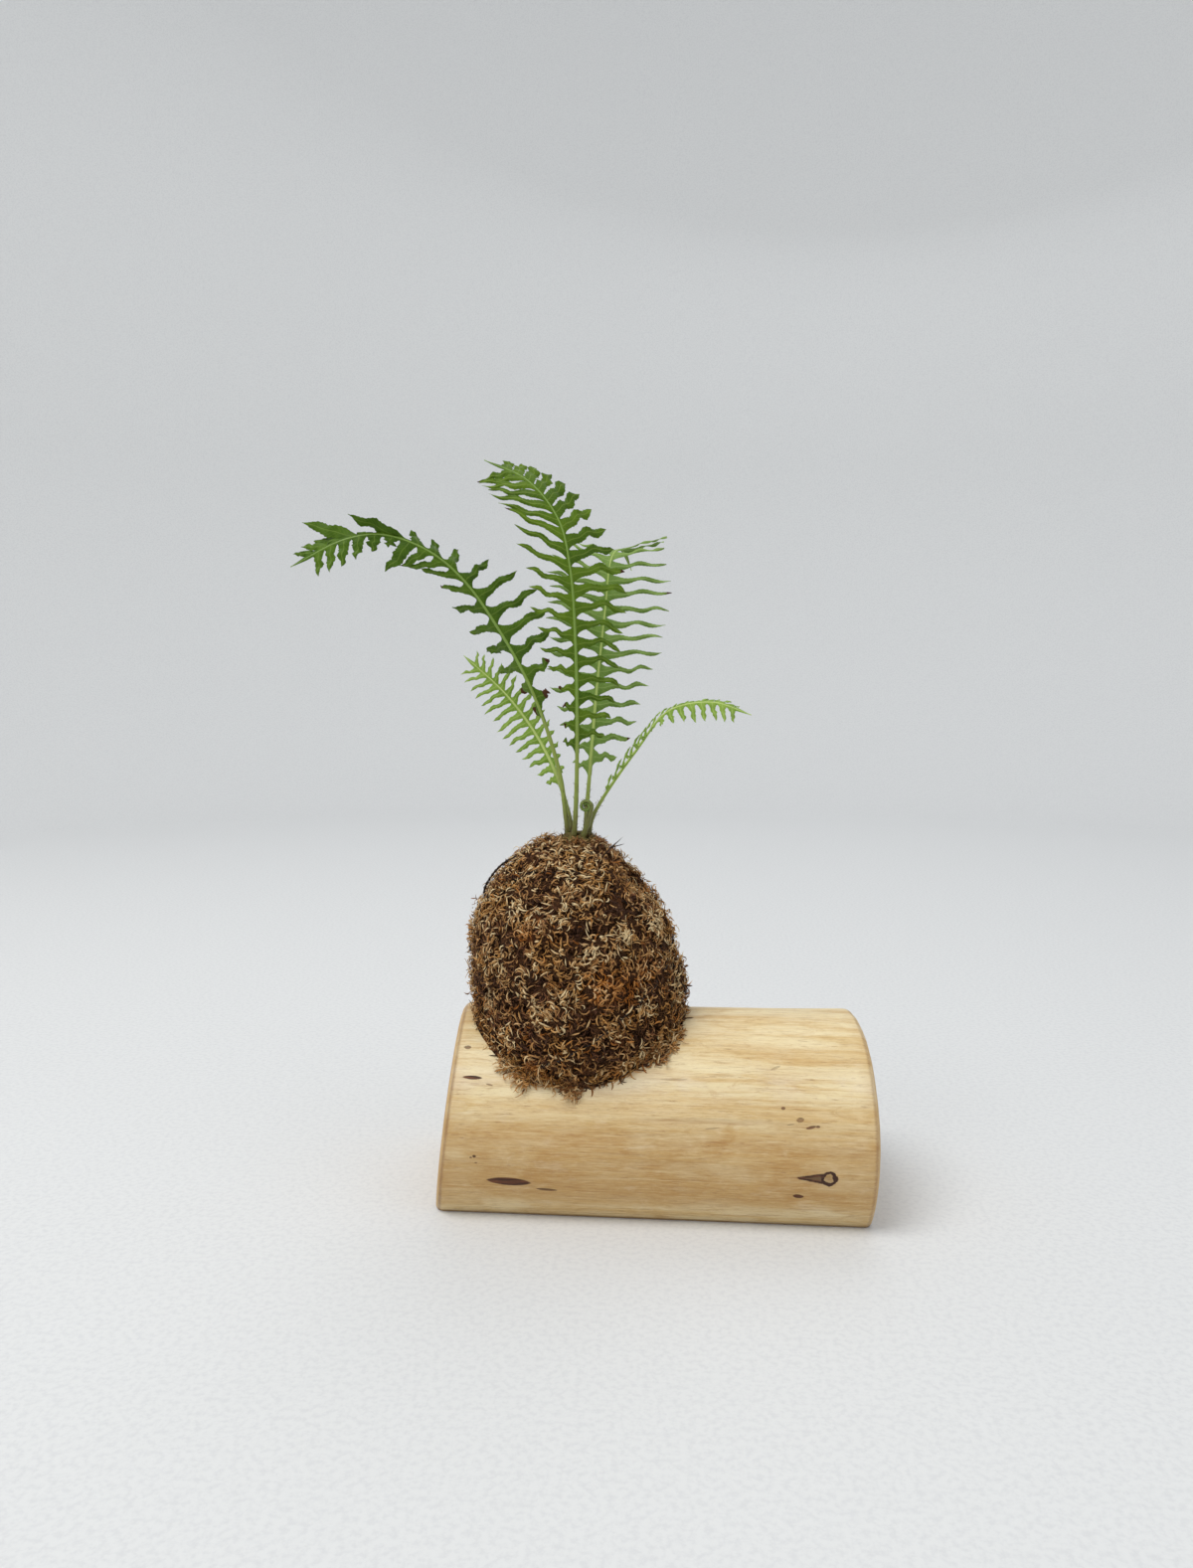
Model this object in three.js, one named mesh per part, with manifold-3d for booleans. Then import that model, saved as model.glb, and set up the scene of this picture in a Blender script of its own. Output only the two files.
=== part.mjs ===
// A kokedama on its wooden stand: a fern planted in a ball of soil, which is wrapped with dried moss,
// bound with dark thread and seated in a hollow scooped in a peeled half log.
// Millimetres, +Z up, origin at the centre of the log's flat underside, +X along the log, front at -Y.
import * as THREE from 'three';
import { mergeVertices } from 'three/addons/utils/BufferGeometryUtils.js';
import Module from 'manifold-3d';

const wasm = await Module();
wasm.setup();

const { Vector3 } = THREE;
const radians = THREE.MathUtils.degToRad;

// Gap left between pieces that touch.
const clearance = 0.3;

// The log: an oval trunk with its axis at axisHeight, sawn flat at z = 0. Both end cuts are a little out
// of square: each is tilted in the height and turned in the depth.
const log = {
  length: 185,
  depthRadius: 51.4,
  heightRadius: 49.4,
  axisHeight: 31.1,
  left: { tilt: radians(6.8), turn: radians(-6.1) },
  right: { tilt: radians(0.7), turn: radians(-5.6) },
  edgeRounding: 3.5,
  roundingSteps: 3,
  unevenness: 0.5,
  stations: 12,
  arcSteps: 40,
  flatSteps: 4,
};

// The moss ball: an egg of squareness a little over 2, taller above its widest height than below it,
// whose upper half leans to the left.
const ball = {
  centre: new Vector3(-32, -3, 88),
  radius: 48,
  rise: 73,
  drop: 50,
  squareness: 2.2,
  lean: -4.5,
  leanHeight: 37,
  detail: 10,
};
const moss = { thickness: 12, reliefHeight: 1.5, seatFade: [0.5, 4], threadFade: [1, 5] };
const hollow = { allowance: 0.6, detail: 8 };
const soil = { detail: 4 };

// The thread: closed loops round the ball, each in a plane through its centre with the given normal. The
// normals keep the loops clear of the crown.
const thread = {
  radius: 0.45,
  sides: 4,
  steps: 48,
  looseOffset: -0.1,
  seatedOffset: -0.8,
  normals: [new Vector3(0.1, 0.9, 0.42), new Vector3(-0.5, -0.25, 0.83)],
};

// The crown: the upright rhizome, in a plain round hole of the soil.
const crown = { axis: [-32.5, -3.5], radius: 8.5, bottom: 139, shoulder: 159, top: 163, segments: 20 };

// The fronds. The path runs from the stem's foot inside the crown to the tip. The blade starts at
// stemLength along it. Facing is the direction that the upper face looks in, at even steps from the
// blade's start to its tip. The other tables are evenly spaced along the blade too, each row for the left
// and the right side: length of the lobes, their breadth as a share of their pitch, the angle that they
// leave the midrib at, sweep towards the frond's foot, lift to the upper face and curl beyond it, in
// degrees. Crowding is how much closer the lobes stand at the tip than on average.
const stem = { radius: 1.2, bladeRadius: 0.85, tipRadius: 0.4, rings: 8, socketSteps: [-1, 4, 8, 12] };
const lobe = {
  thickness: 0.7,
  wing: 1.0,
  angleScatter: 2,
  wave: 0.45,
  zigzagShare: 0.2,
};
const fronds = [
  {
    name: 'frond_tall', color: 0x3f7023, seed: 11,
    path: [[-33, -8, 155], [-32.5, -10, 170], [-32, -14, 202], [-32, -20, 245], [-34, -22, 277],
      [-39, -20, 298], [-53, -14, 316], [-74, -4, 327]],
    facing: [[0.1, -1, 0.1], [0.2, -1, 0.1], [0.4, -0.85, 0.3], [0.45, -0.8, 0.4], [0.3, -0.75, 0.6]],
    stemLength: 44, pairs: 19, crowding: 0.15, steps: 5,
    length: [[5, 8], [9, 17], [16, 22], [21, 28], [28, 20], [21, 12], [8, 5]],
    breadth: [[0.3, 0.3], [0.3, 0.3], [0.5, 0.6], [0.55, 0.8]],
    angle: [[82, 82], [80, 82], [76, 80], [68, 80], [50, 76], [36, 68], [28, 50]],
    sweep: [[0, 20], [0, 55], [0, 20], [0, 0]], lift: [[0, 0], [-15, -10], [-25, -15]], curl: [[0, 0]],
  },
  {
    name: 'frond_arching', color: 0x4a7d28, seed: 23,
    path: [[-36.5, -5, 155], [-38, -4.5, 168], [-41, -4, 189], [-53, -3, 225], [-69, -2, 254],
      [-84, -4, 275], [-99, -8, 288], [-118, -13, 297], [-134, -17, 295], [-155, -22, 280]],
    facing: [[-0.6, -0.8, 0.1], [-0.5, -0.8, 0.2], [-0.3, -0.7, 0.65], [-0.1, -0.7, 0.7], [0.1, -0.85, 0.5]],
    stemLength: 58, pairs: 17, crowding: 0.4, steps: 5,
    length: [[6, 8], [11, 20], [10, 25], [15, 15], [9, 8], [9, 24], [6, 9]],
    breadth: [[0.3, 0.3], [0.3, 0.3], [0.5, 0.5], [0.7, 0.9]],
    angle: [[80, 82], [80, 88], [72, 96], [60, 84], [80, 50], [80, 24], [50, 30]],
    sweep: [[0, 0], [0, 0], [-30, 0], [0, 0], [0, 0]],
    lift: [[-35, 5], [-38, 3], [-40, -10], [-32, -42], [-25, -30], [-20, -8], [-15, -10]], curl: [[0, 0]],
  },
  {
    name: 'frond_back', color: 0x5f8f3c, seed: 31,
    path: [[-31.5, 1, 155], [-31, 3, 168], [-29, 9, 191], [-26, 17, 227], [-23, 24, 261], [-20, 30, 288],
      [-16, 40, 292], [-12, 48, 283]],
    facing: [[0, -1, 0.1], [0, -1, 0.15], [-0.05, 0.4, 0.85]],
    stemLength: 40, pairs: 15, crowding: 0.2, steps: 5,
    length: [[7, 9], [15, 18], [22, 24], [26, 28], [28, 30], [24, 26], [9, 9]],
    breadth: [[0.3, 0.3]],
    angle: [[82, 82], [82, 82], [80, 82], [74, 84], [60, 80]],
    sweep: [[5, 8]], lift: [[8, 8]], curl: [[0, 0]],
  },
  {
    name: 'frond_left_young', color: 0x8cab50, seed: 47,
    path: [[-36, 0.5, 155], [-38.5, 3, 168], [-44, 9, 187], [-55, 17, 206], [-70, 24, 224], [-91, 31, 242]],
    facing: [[-0.2, -0.95, 0.2], [-0.2, -0.95, 0.2], [-0.1, -0.9, 0.4]],
    stemLength: 30, pairs: 15, crowding: 0.2, steps: 4,
    length: [[4, 3], [9, 6], [13, 9], [13, 10], [12, 10], [9, 8], [4, 4]],
    breadth: [[0.3, 0.3]],
    angle: [[82, 82], [82, 82], [82, 82], [68, 68], [40, 40]],
    sweep: [[10, 0]], lift: [[6, 14]], curl: [[0, 0]],
  },
  {
    name: 'frond_right_young', color: 0x86a648, seed: 59,
    path: [[-28.5, -3.5, 155], [-26.5, -4, 168], [-22, -5, 177], [-6, -11, 200], [8, -18, 217],
      [27, -25, 221], [43, -31, 216]],
    facing: [[-0.75, -0.1, 0.65], [-0.5, -0.3, 0.8], [0.2, -0.6, 0.75]],
    stemLength: 24, pairs: 15, crowding: 0.2, steps: 4,
    length: [[3, 3], [5, 5], [7, 7], [8, 8], [8, 9], [7, 8], [3, 3]],
    breadth: [[0.3, 0.3]],
    angle: [[82, 82], [82, 82], [82, 82], [68, 68], [40, 40]],
    sweep: [[0, 0]], lift: [[35, 35], [30, 30], [-25, -35], [-25, -35]],
    curl: [[30, 30], [30, 30], [0, 0], [0, 0]],
  },
];

// The crozier: a young frond still rolled up, its stalk ending in a flat coil seen from the front.
const crozier = {
  path: [[-29, -7.5, 155], [-28.2, -8.8, 163], [-26.6, -9.9, 169.5], [-25.7, -10.2, 173.6]],
  coilCentre: [-28, -10.2, 174.4],
  coilTurns: 1.05,
  innerRadius: 0.55,
  stalkRadius: 1.0,
  tipRadius: 0.4,
  sides: 7,
  stalkSteps: 8,
  coilSteps: 20,
};

// Shared shapes.

const smoothstep = THREE.MathUtils.smoothstep;
const lerp = THREE.MathUtils.lerp;

// A repeatable source of numbers between 0 and 1.
function randomFrom(seed) {
  let state = seed;
  return () => {
    state = (Math.imul(state, 1664525) + 1013904223) >>> 0;
    return state / 2 ** 32;
  };
}

function toSolid(geometry) {
  const bare = geometry.clone();
  bare.deleteAttribute('normal');
  bare.deleteAttribute('uv');
  const merged = mergeVertices(bare, 1e-5);
  return new wasm.Manifold(new wasm.Mesh({
    numProp: 3,
    vertProperties: new Float32Array(merged.attributes.position.array),
    triVerts: new Uint32Array(merged.index.array),
  }));
}

function toGeometry(solid) {
  const mesh = solid.getMesh();
  const geometry = new THREE.BufferGeometry();
  geometry.setAttribute('position', new THREE.BufferAttribute(mesh.vertProperties, 3));
  geometry.setIndex(new THREE.BufferAttribute(mesh.triVerts, 1));
  return geometry;
}

function indexedGeometry(points, triangles) {
  const geometry = new THREE.BufferGeometry();
  geometry.setAttribute('position', new THREE.Float32BufferAttribute(points.flatMap((p) => p.toArray()), 3));
  geometry.setIndex(triangles);
  return geometry;
}

// A closed skin over rings of equal length, each running anticlockwise seen from the last ring's side,
// with a fan over each end.
function skinRings(rings) {
  const count = rings[0].length;
  const points = rings.flat();
  const triangles = [];
  for (let ring = 0; ring < rings.length - 1; ring += 1) {
    for (let i = 0; i < count; i += 1) {
      const a = ring * count + i;
      const b = ring * count + ((i + 1) % count);
      triangles.push(a, b, b + count, a, b + count, a + count);
    }
  }
  const ends = [[0, true], [rings.length - 1, false]];
  for (const [ring, first] of ends) {
    const middle = points.length;
    points.push(rings[ring].reduce((sum, p) => sum.add(p), new Vector3()).divideScalar(count));
    for (let i = 0; i < count; i += 1) {
      const a = ring * count + i;
      const b = ring * count + ((i + 1) % count);
      triangles.push(middle, first ? b : a, first ? a : b);
    }
  }
  return indexedGeometry(points, triangles);
}

// One ring of a tube round a point of its path.
function tubeRing(centre, tangent, side, radius, sides) {
  const across = new Vector3().crossVectors(tangent, side).normalize();
  const along = new Vector3().crossVectors(across, tangent).normalize();
  return Array.from({ length: sides }, (_, i) => {
    const angle = (2 * Math.PI * i) / sides;
    return centre.clone()
      .addScaledVector(along, radius * Math.cos(angle))
      .addScaledVector(across, radius * Math.sin(angle));
  });
}

// The log.

// How far a point lies outside the round of the log, in millimetres, negative inside it.
function heightOverLog(point) {
  const share = Math.hypot(point.y / log.depthRadius, (point.z - log.axisHeight) / log.heightRadius);
  return (share - 1) * log.heightRadius;
}

function logSection(inset, along) {
  const flatAngle = Math.asin(log.axisHeight / log.heightRadius);
  const scale = 1 - inset / log.heightRadius;
  const section = [];
  for (let i = 0; i <= log.arcSteps; i += 1) {
    const share = i / log.arcSteps;
    const angle = lerp(-flatAngle, Math.PI + flatAngle, share);
    const swell = 1 + (log.unevenness / log.heightRadius) * Math.sin(Math.PI * share)
      * (Math.sin(3 * angle + 2 * along) + 0.6 * Math.sin(7 * angle - 3 * along));
    section.push([log.depthRadius * Math.cos(angle) * swell, log.heightRadius * Math.sin(angle) * swell]);
  }
  const [[right, level]] = section;
  for (let i = 1; i < log.flatSteps; i += 1) {
    section.push([lerp(-right, right, i / log.flatSteps), level]);
  }
  return section.map(([y, z]) => [y * scale, log.axisHeight + z * scale]);
}

function buildLog() {
  const stations = [];
  const rounding = log.edgeRounding;
  for (let i = 0; i <= log.roundingSteps; i += 1) {
    const angle = (Math.PI / 2) * (i / log.roundingSteps);
    stations.push([rounding * (1 - Math.sin(angle)), rounding * (1 - Math.cos(angle)) - log.length / 2]);
  }
  const mirrored = stations.map(([inset, x]) => [inset, -x]).reverse();
  for (let i = 1; i < log.stations; i += 1) {
    stations.push([0, lerp(-0.5, 0.5, i / log.stations) * (log.length - 2 * rounding)]);
  }
  stations.push(...mirrored);
  const rings = stations.map(([inset, x]) => {
    const share = x / log.length + 0.5;
    return logSection(inset, x / 40).map(([y, z]) => {
      const leftShift = Math.tan(log.left.tilt) * (z - log.axisHeight) + Math.tan(log.left.turn) * y;
      const rightShift = Math.tan(log.right.tilt) * (z - log.axisHeight) + Math.tan(log.right.turn) * y;
      return new Vector3(x + lerp(leftShift, rightShift, share), y, z);
    });
  });
  return toSolid(skinRings(rings)).subtract(ballSolid(hollow.detail, hollow.allowance));
}

// The moss ball.

// The point of the ball's smooth surface in a direction from its centre, moved out by offset.
function ballPoint(direction, offset) {
  const height = direction.z > 0 ? ball.rise : ball.drop;
  const wide = (Math.hypot(direction.x, direction.y) / ball.radius) ** ball.squareness;
  const tall = Math.abs(direction.z / height) ** ball.squareness;
  const point = direction.clone().multiplyScalar((wide + tall) ** (-1 / ball.squareness) + offset);
  point.x += ball.lean * smoothstep(point.z, 0, ball.leanHeight);
  return point.add(ball.centre);
}

function ballSolid(detail, offsetAt) {
  const geometry = new THREE.IcosahedronGeometry(1, detail);
  const position = geometry.attributes.position;
  const direction = new Vector3();
  for (let i = 0; i < position.count; i += 1) {
    direction.fromBufferAttribute(position, i).normalize();
    const offset = typeof offsetAt === 'function' ? offsetAt(direction) : offsetAt;
    position.setXYZ(i, ...ballPoint(direction, offset).toArray());
  }
  return toSolid(geometry);
}

// Clumps of moss in two sizes. They fade out where the ball sits in the log and beside the thread.
function mossRelief(direction) {
  const p = ballPoint(direction, 0);
  const large = Math.sin(p.x / 4.1 + 1.7 * Math.sin(p.z / 6.3))
    * Math.sin(p.z / 4.6 + 1.3 * Math.sin(p.y / 5.2));
  const small = Math.sin(p.y / 3.3 + p.z / 5.7) * Math.sin(p.x / 6.1 - p.z / 3.9);
  const threadDistance = Math.min(...thread.normals.map((normal) => (
    Math.abs(p.clone().sub(ball.centre).dot(normal)) / normal.length())));
  return moss.reliefHeight * (large + 0.7 * small)
    * smoothstep(heightOverLog(p), ...moss.seatFade)
    * smoothstep(threadDistance, ...moss.threadFade);
}

function buildThreadLoop(normal, radius) {
  const start = new Vector3(0, 0, 1).cross(normal).normalize();
  const turned = normal.clone().normalize().cross(start);
  const centres = Array.from({ length: thread.steps }, (_, i) => {
    const angle = (2 * Math.PI * i) / thread.steps;
    const direction = start.clone().multiplyScalar(Math.cos(angle)).addScaledVector(turned, Math.sin(angle));
    const free = smoothstep(heightOverLog(ballPoint(direction, 0)), ...moss.seatFade);
    return ballPoint(direction, lerp(thread.seatedOffset, thread.looseOffset, free));
  });
  const points = [];
  const triangles = [];
  centres.forEach((centre, step) => {
    const next = centres[(step + 1) % thread.steps];
    const previous = centres[(step + thread.steps - 1) % thread.steps];
    points.push(...tubeRing(centre, next.clone().sub(previous), normal, radius, thread.sides));
    for (let i = 0; i < thread.sides; i += 1) {
      const a = step * thread.sides + i;
      const b = step * thread.sides + ((i + 1) % thread.sides);
      const wrap = thread.sides * thread.steps;
      const nextA = (a + thread.sides) % wrap;
      const nextB = (b + thread.sides) % wrap;
      triangles.push(a, b, nextB, a, nextB, nextA);
    }
  });
  return toSolid(indexedGeometry(points, triangles));
}

function joinAll(solids) {
  return solids.reduce((joined, solid) => joined.add(solid));
}

function crownProfile(radius, bottom, shoulder, top) {
  return [[0, bottom], [radius, bottom], [radius, shoulder], [radius * 0.72, top - 0.8], [0, top]]
    .map(([x, y]) => new THREE.Vector2(x, y));
}

function uprightLathe(profile, segments) {
  const geometry = new THREE.LatheGeometry(profile, segments);
  geometry.rotateX(Math.PI / 2);
  geometry.translate(...crown.axis, 0);
  return toSolid(geometry);
}

// The plain round hole that the crown stands in, open to the top.
function crownHole() {
  const radius = crown.radius + clearance;
  const aboveMoss = ball.centre.z + ball.rise + 10;
  const floor = crown.bottom - clearance;
  const profile = [[0, floor], [radius, floor], [radius, aboveMoss], [0, aboveMoss]];
  return uprightLathe(profile.map(([x, y]) => new THREE.Vector2(x, y)), crown.segments);
}

function buildMoss(hole) {
  const soilHollow = ballSolid(soil.detail, clearance - moss.thickness);
  const grooves = thread.normals.map((normal) => buildThreadLoop(normal, thread.radius + clearance));
  return ballSolid(ball.detail, mossRelief).subtract(soilHollow).subtract(hole).subtract(joinAll(grooves));
}

// The fronds.

// A thin leaf built as one sheet: each point of the sheet is a pair of points, one on either face. Both
// faces are split into the same triangles, so a waved sheet never crosses itself.
class Leaf {
  constructor() {
    this.points = [];
    this.triangles = [];
  }

  point(centre, normal, thickness) {
    const index = this.points.length;
    this.points.push(
      centre.clone().addScaledVector(normal, thickness / 2),
      centre.clone().addScaledVector(normal, -thickness / 2),
    );
    return index;
  }

  // A triangle of the sheet, anticlockwise seen from the upper face on the right side (side = 1) and
  // clockwise on the left (side = -1).
  face(a, b, c, side) {
    const [second, third] = side > 0 ? [b, c] : [c, b];
    this.triangles.push(a, second, third, a + 1, third + 1, second + 1);
  }

  // The narrow wall along a free edge, from a to b with the leaf on the left of it, or mirrored.
  edge(a, b, side) {
    const [from, to] = side > 0 ? [a, b] : [b, a];
    this.triangles.push(to, from, from + 1, to, from + 1, to + 1);
  }

  geometry() {
    return indexedGeometry(this.points, this.triangles);
  }
}

// The row at a share of the way through evenly spaced rows of numbers.
function rowAt(rows, share) {
  const place = share * (rows.length - 1);
  const step = Math.min(Math.floor(place), Math.max(rows.length - 2, 0));
  const next = rows[Math.min(step + 1, rows.length - 1)];
  return rows[step].map((value, i) => lerp(value, next[i], place - step));
}

// The frond's path with its own directions: forward to the tip, right and normal to the upper face.
class Midrib {
  constructor(frond) {
    this.curve = new THREE.CatmullRomCurve3(frond.path.map((p) => new Vector3(...p)), false, 'centripetal');
    this.curve.arcLengthDivisions = 400;
    this.length = this.curve.getLength();
    this.facing = frond.facing;
    this.bladeStart = frond.stemLength;
  }

  frameAt(distance) {
    const share = THREE.MathUtils.clamp(distance / this.length, 0, 1);
    const centre = this.curve.getPointAt(share);
    const forward = this.curve.getTangentAt(share);
    const along = THREE.MathUtils.clamp((distance - this.bladeStart) / (this.length - this.bladeStart), 0, 1);
    const look = new Vector3(...rowAt(this.facing, along));
    const right = new Vector3().crossVectors(forward, look).normalize();
    const normal = new Vector3().crossVectors(right, forward).normalize();
    return { centre, forward, right, normal, along };
  }
}

// One row across the midrib: a ridge point between two wing points.
function ribRow(leaf, frame, radius, wing, wingThickness) {
  const at = (side) => leaf.point(
    frame.centre.clone().addScaledVector(frame.right, side * wing), frame.normal, wingThickness);
  return { left: at(-1), ridge: leaf.point(frame.centre, frame.normal, 2 * radius), right: at(1) };
}

function wingOf(row, side) {
  return side > 0 ? row.right : row.left;
}

// A plain strip of wing between two rows, with its free edge.
function addStrip(leaf, low, high, side) {
  leaf.face(low.ridge, wingOf(low, side), wingOf(high, side), side);
  leaf.face(low.ridge, wingOf(high, side), high.ridge, side);
  leaf.edge(wingOf(low, side), wingOf(high, side), side);
}

// One lobe on the wing between the rows low and high. It is widest at its foot, where it meets the next
// lobe, narrows to a strap with a waved edge and ends in a point.
function addLobe(leaf, frond, frame, rows, side, pitch, random) {
  const [low, middle, high] = rows;
  const sideIndex = side > 0 ? 1 : 0;
  const scatter = () => 2 * random() - 1;
  const [meanLength, breadth, meanAngle, sweep, fullLift, curl] = [
    frond.length, frond.breadth, frond.angle, frond.sweep, frond.lift, frond.curl,
  ].map((table) => rowAt(table, frame.along)[sideIndex]);
  const footAngle = meanAngle + lobe.angleScatter * scatter();
  const length = meanLength * (1 + 0.06 * scatter());
  const phase = random() < 0.5 ? 0 : 1;
  const centre = frame.centre.clone().addScaledVector(frame.right, side * lobe.wing);
  leaf.face(low.ridge, wingOf(low, side), middle.ridge, side);
  leaf.face(middle.ridge, wingOf(low, side), wingOf(high, side), side);
  leaf.face(middle.ridge, wingOf(high, side), high.ridge, side);
  let lower = wingOf(low, side);
  let upper = wingOf(high, side);
  let reached = 0;
  for (let step = 1; step <= frond.steps; step += 1) {
    const share = step === frond.steps ? 1 : 0.07 + (0.93 * (step - 1)) / (frond.steps - 1);
    const bend = share * share;
    const angle = radians(footAngle + sweep * bend);
    const lift = radians(fullLift * smoothstep(share, 0, 0.25) + curl * bend);
    const outward = frame.forward.clone().multiplyScalar(Math.cos(angle) * Math.cos(lift))
      .addScaledVector(frame.right, side * Math.sin(angle) * Math.cos(lift))
      .addScaledVector(frame.normal, Math.sin(lift));
    const squareness = smoothstep(share, 0, 0.45);
    const across = frame.forward.clone()
      .addScaledVector(outward, -frame.forward.dot(outward) * squareness).normalize();
    const normal = new Vector3().crossVectors(outward, across).multiplyScalar(side).normalize();
    centre.addScaledVector(outward, (share - reached) * length);
    reached = share;
    if (step === frond.steps) {
      const tip = leaf.point(centre, normal, lobe.thickness);
      leaf.face(lower, tip, upper, side);
      leaf.edge(lower, tip, side);
      leaf.edge(tip, upper, side);
      return;
    }
    const zigzag = (step + phase) % 2 === 0 ? 1 : -1;
    const halfPitch = 0.5 * pitch * lerp(1, Math.sin(radians(footAngle)), squareness);
    const halfWidth = halfPitch * (breadth + (0.9 - breadth) * (1 - share) ** 2.2);
    const waved = centre.clone()
      .addScaledVector(across, lobe.zigzagShare * halfPitch * zigzag * Math.min(1, share * 2))
      .addScaledVector(normal, lobe.wave * zigzag * share);
    const nextLower = leaf.point(waved.clone().addScaledVector(across, -halfWidth), normal, lobe.thickness);
    const nextUpper = leaf.point(waved.clone().addScaledVector(across, halfWidth), normal, lobe.thickness);
    leaf.face(lower, nextLower, nextUpper, side);
    leaf.face(lower, nextUpper, upper, side);
    leaf.edge(lower, nextLower, side);
    leaf.edge(nextUpper, upper, side);
    lower = nextLower;
    upper = nextUpper;
  }
}

function buildFrond(frond) {
  const random = randomFrom(frond.seed);
  const midrib = new Midrib(frond);
  const leaf = new Leaf();
  const bladeLength = midrib.length - frond.stemLength;
  const rowCount = 2 * frond.pairs + 2;
  const placeAt = (j) => {
    const share = j / (rowCount + 2);
    return frond.stemLength + bladeLength * share * (1 + frond.crowding * (1 - share));
  };
  const rows = [];
  for (let ring = 0; ring < stem.rings; ring += 1) {
    const share = ring / stem.rings;
    const radius = lerp(stem.radius, stem.bladeRadius, share);
    const frame = midrib.frameAt(share * frond.stemLength);
    rows.push(ribRow(leaf, frame, radius, radius * Math.cos(Math.PI / 6), radius));
  }
  const firstBladeRow = rows.length;
  for (let j = 0; j < rowCount; j += 1) {
    const frame = midrib.frameAt(placeAt(j));
    const radius = lerp(stem.bladeRadius, stem.tipRadius, frame.along);
    rows.push(ribRow(leaf, frame, radius, lobe.wing, lobe.thickness));
  }
  leaf.edge(rows[0].left, rows[0].ridge, 1);
  leaf.edge(rows[0].ridge, rows[0].right, 1);
  for (let i = 0; i < firstBladeRow; i += 1) {
    addStrip(leaf, rows[i], rows[i + 1], -1);
    addStrip(leaf, rows[i], rows[i + 1], 1);
  }
  const blade = rows.slice(firstBladeRow);
  addStrip(leaf, blade[0], blade[1], 1);
  for (let pair = 0; pair < frond.pairs; pair += 1) {
    for (const [side, j] of [[-1, 2 * pair], [1, 2 * pair + 1]]) {
      const pitch = placeAt(j + 2) - placeAt(j);
      addLobe(leaf, frond, midrib.frameAt(placeAt(j + 1)), blade.slice(j, j + 3), side, pitch, random);
    }
  }
  addStrip(leaf, blade[rowCount - 2], blade[rowCount - 1], -1);
  const last = blade[rowCount - 1];
  const end = midrib.frameAt(midrib.length);
  const tip = leaf.point(end.centre, end.normal, lobe.thickness);
  for (const side of [-1, 1]) {
    leaf.face(last.ridge, wingOf(last, side), tip, side);
    leaf.edge(wingOf(last, side), tip, side);
  }
  return leaf.geometry();
}

// The hole in the crown round a frond's stem: the stem's own section, made wider.
function stemSocket(frond) {
  const midrib = new Midrib(frond);
  const leaf = new Leaf();
  const radius = stem.radius + clearance / Math.cos(Math.PI / 6);
  const rows = stem.socketSteps.map((distance) => {
    const frame = midrib.frameAt(Math.max(distance, 0));
    frame.centre.addScaledVector(frame.forward, Math.min(distance, 0));
    return ribRow(leaf, frame, radius, radius * Math.cos(Math.PI / 6), radius);
  });
  const last = rows.length - 1;
  leaf.edge(rows[0].left, rows[0].ridge, 1);
  leaf.edge(rows[0].ridge, rows[0].right, 1);
  leaf.edge(rows[last].ridge, rows[last].left, 1);
  leaf.edge(rows[last].right, rows[last].ridge, 1);
  for (let i = 0; i < last; i += 1) {
    addStrip(leaf, rows[i], rows[i + 1], -1);
    addStrip(leaf, rows[i], rows[i + 1], 1);
  }
  return toSolid(leaf.geometry());
}

function crozierRings(extraRadius, stalkOnly) {
  const stalk = new THREE.CatmullRomCurve3(crozier.path.map((p) => new Vector3(...p)), false, 'centripetal');
  const side = new Vector3(0, -1, 0);
  const rings = [];
  const coilCentre = new Vector3(...crozier.coilCentre);
  for (let i = 0; i <= crozier.stalkSteps; i += 1) {
    const share = i / crozier.stalkSteps;
    rings.push(tubeRing(stalk.getPointAt(share), stalk.getTangentAt(share), side,
      crozier.stalkRadius + extraRadius, crozier.sides));
  }
  if (stalkOnly) return rings;
  const start = stalk.getPointAt(1).sub(coilCentre);
  const startAngle = Math.atan2(start.z, start.x);
  for (let i = 1; i <= crozier.coilSteps; i += 1) {
    const share = i / crozier.coilSteps;
    const angle = startAngle + 2 * Math.PI * crozier.coilTurns * share;
    const reach = lerp(start.length(), crozier.innerRadius, share ** 1.3);
    const spoke = new Vector3(Math.cos(angle), 0, Math.sin(angle));
    const centre = coilCentre.clone().addScaledVector(spoke, reach);
    const tangent = new Vector3(-Math.sin(angle), 0, Math.cos(angle));
    rings.push(tubeRing(centre, tangent, side,
      lerp(crozier.stalkRadius, crozier.tipRadius, share), crozier.sides));
  }
  return rings;
}

function buildCrown() {
  const profile = crownProfile(crown.radius, crown.bottom, crown.shoulder, crown.top);
  const body = uprightLathe(profile, crown.segments);
  const sockets = fronds.map(stemSocket);
  const crozierSocket = toSolid(skinRings(crozierRings(clearance, true)));
  return body.subtract(joinAll(sockets)).subtract(crozierSocket);
}

// The assembly.

function addPiece(group, name, geometry, color, roughness) {
  const material = new THREE.MeshStandardMaterial({ color, roughness, metalness: 0 });
  const mesh = new THREE.Mesh(geometry, material);
  mesh.name = name;
  group.add(mesh);
}

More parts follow.
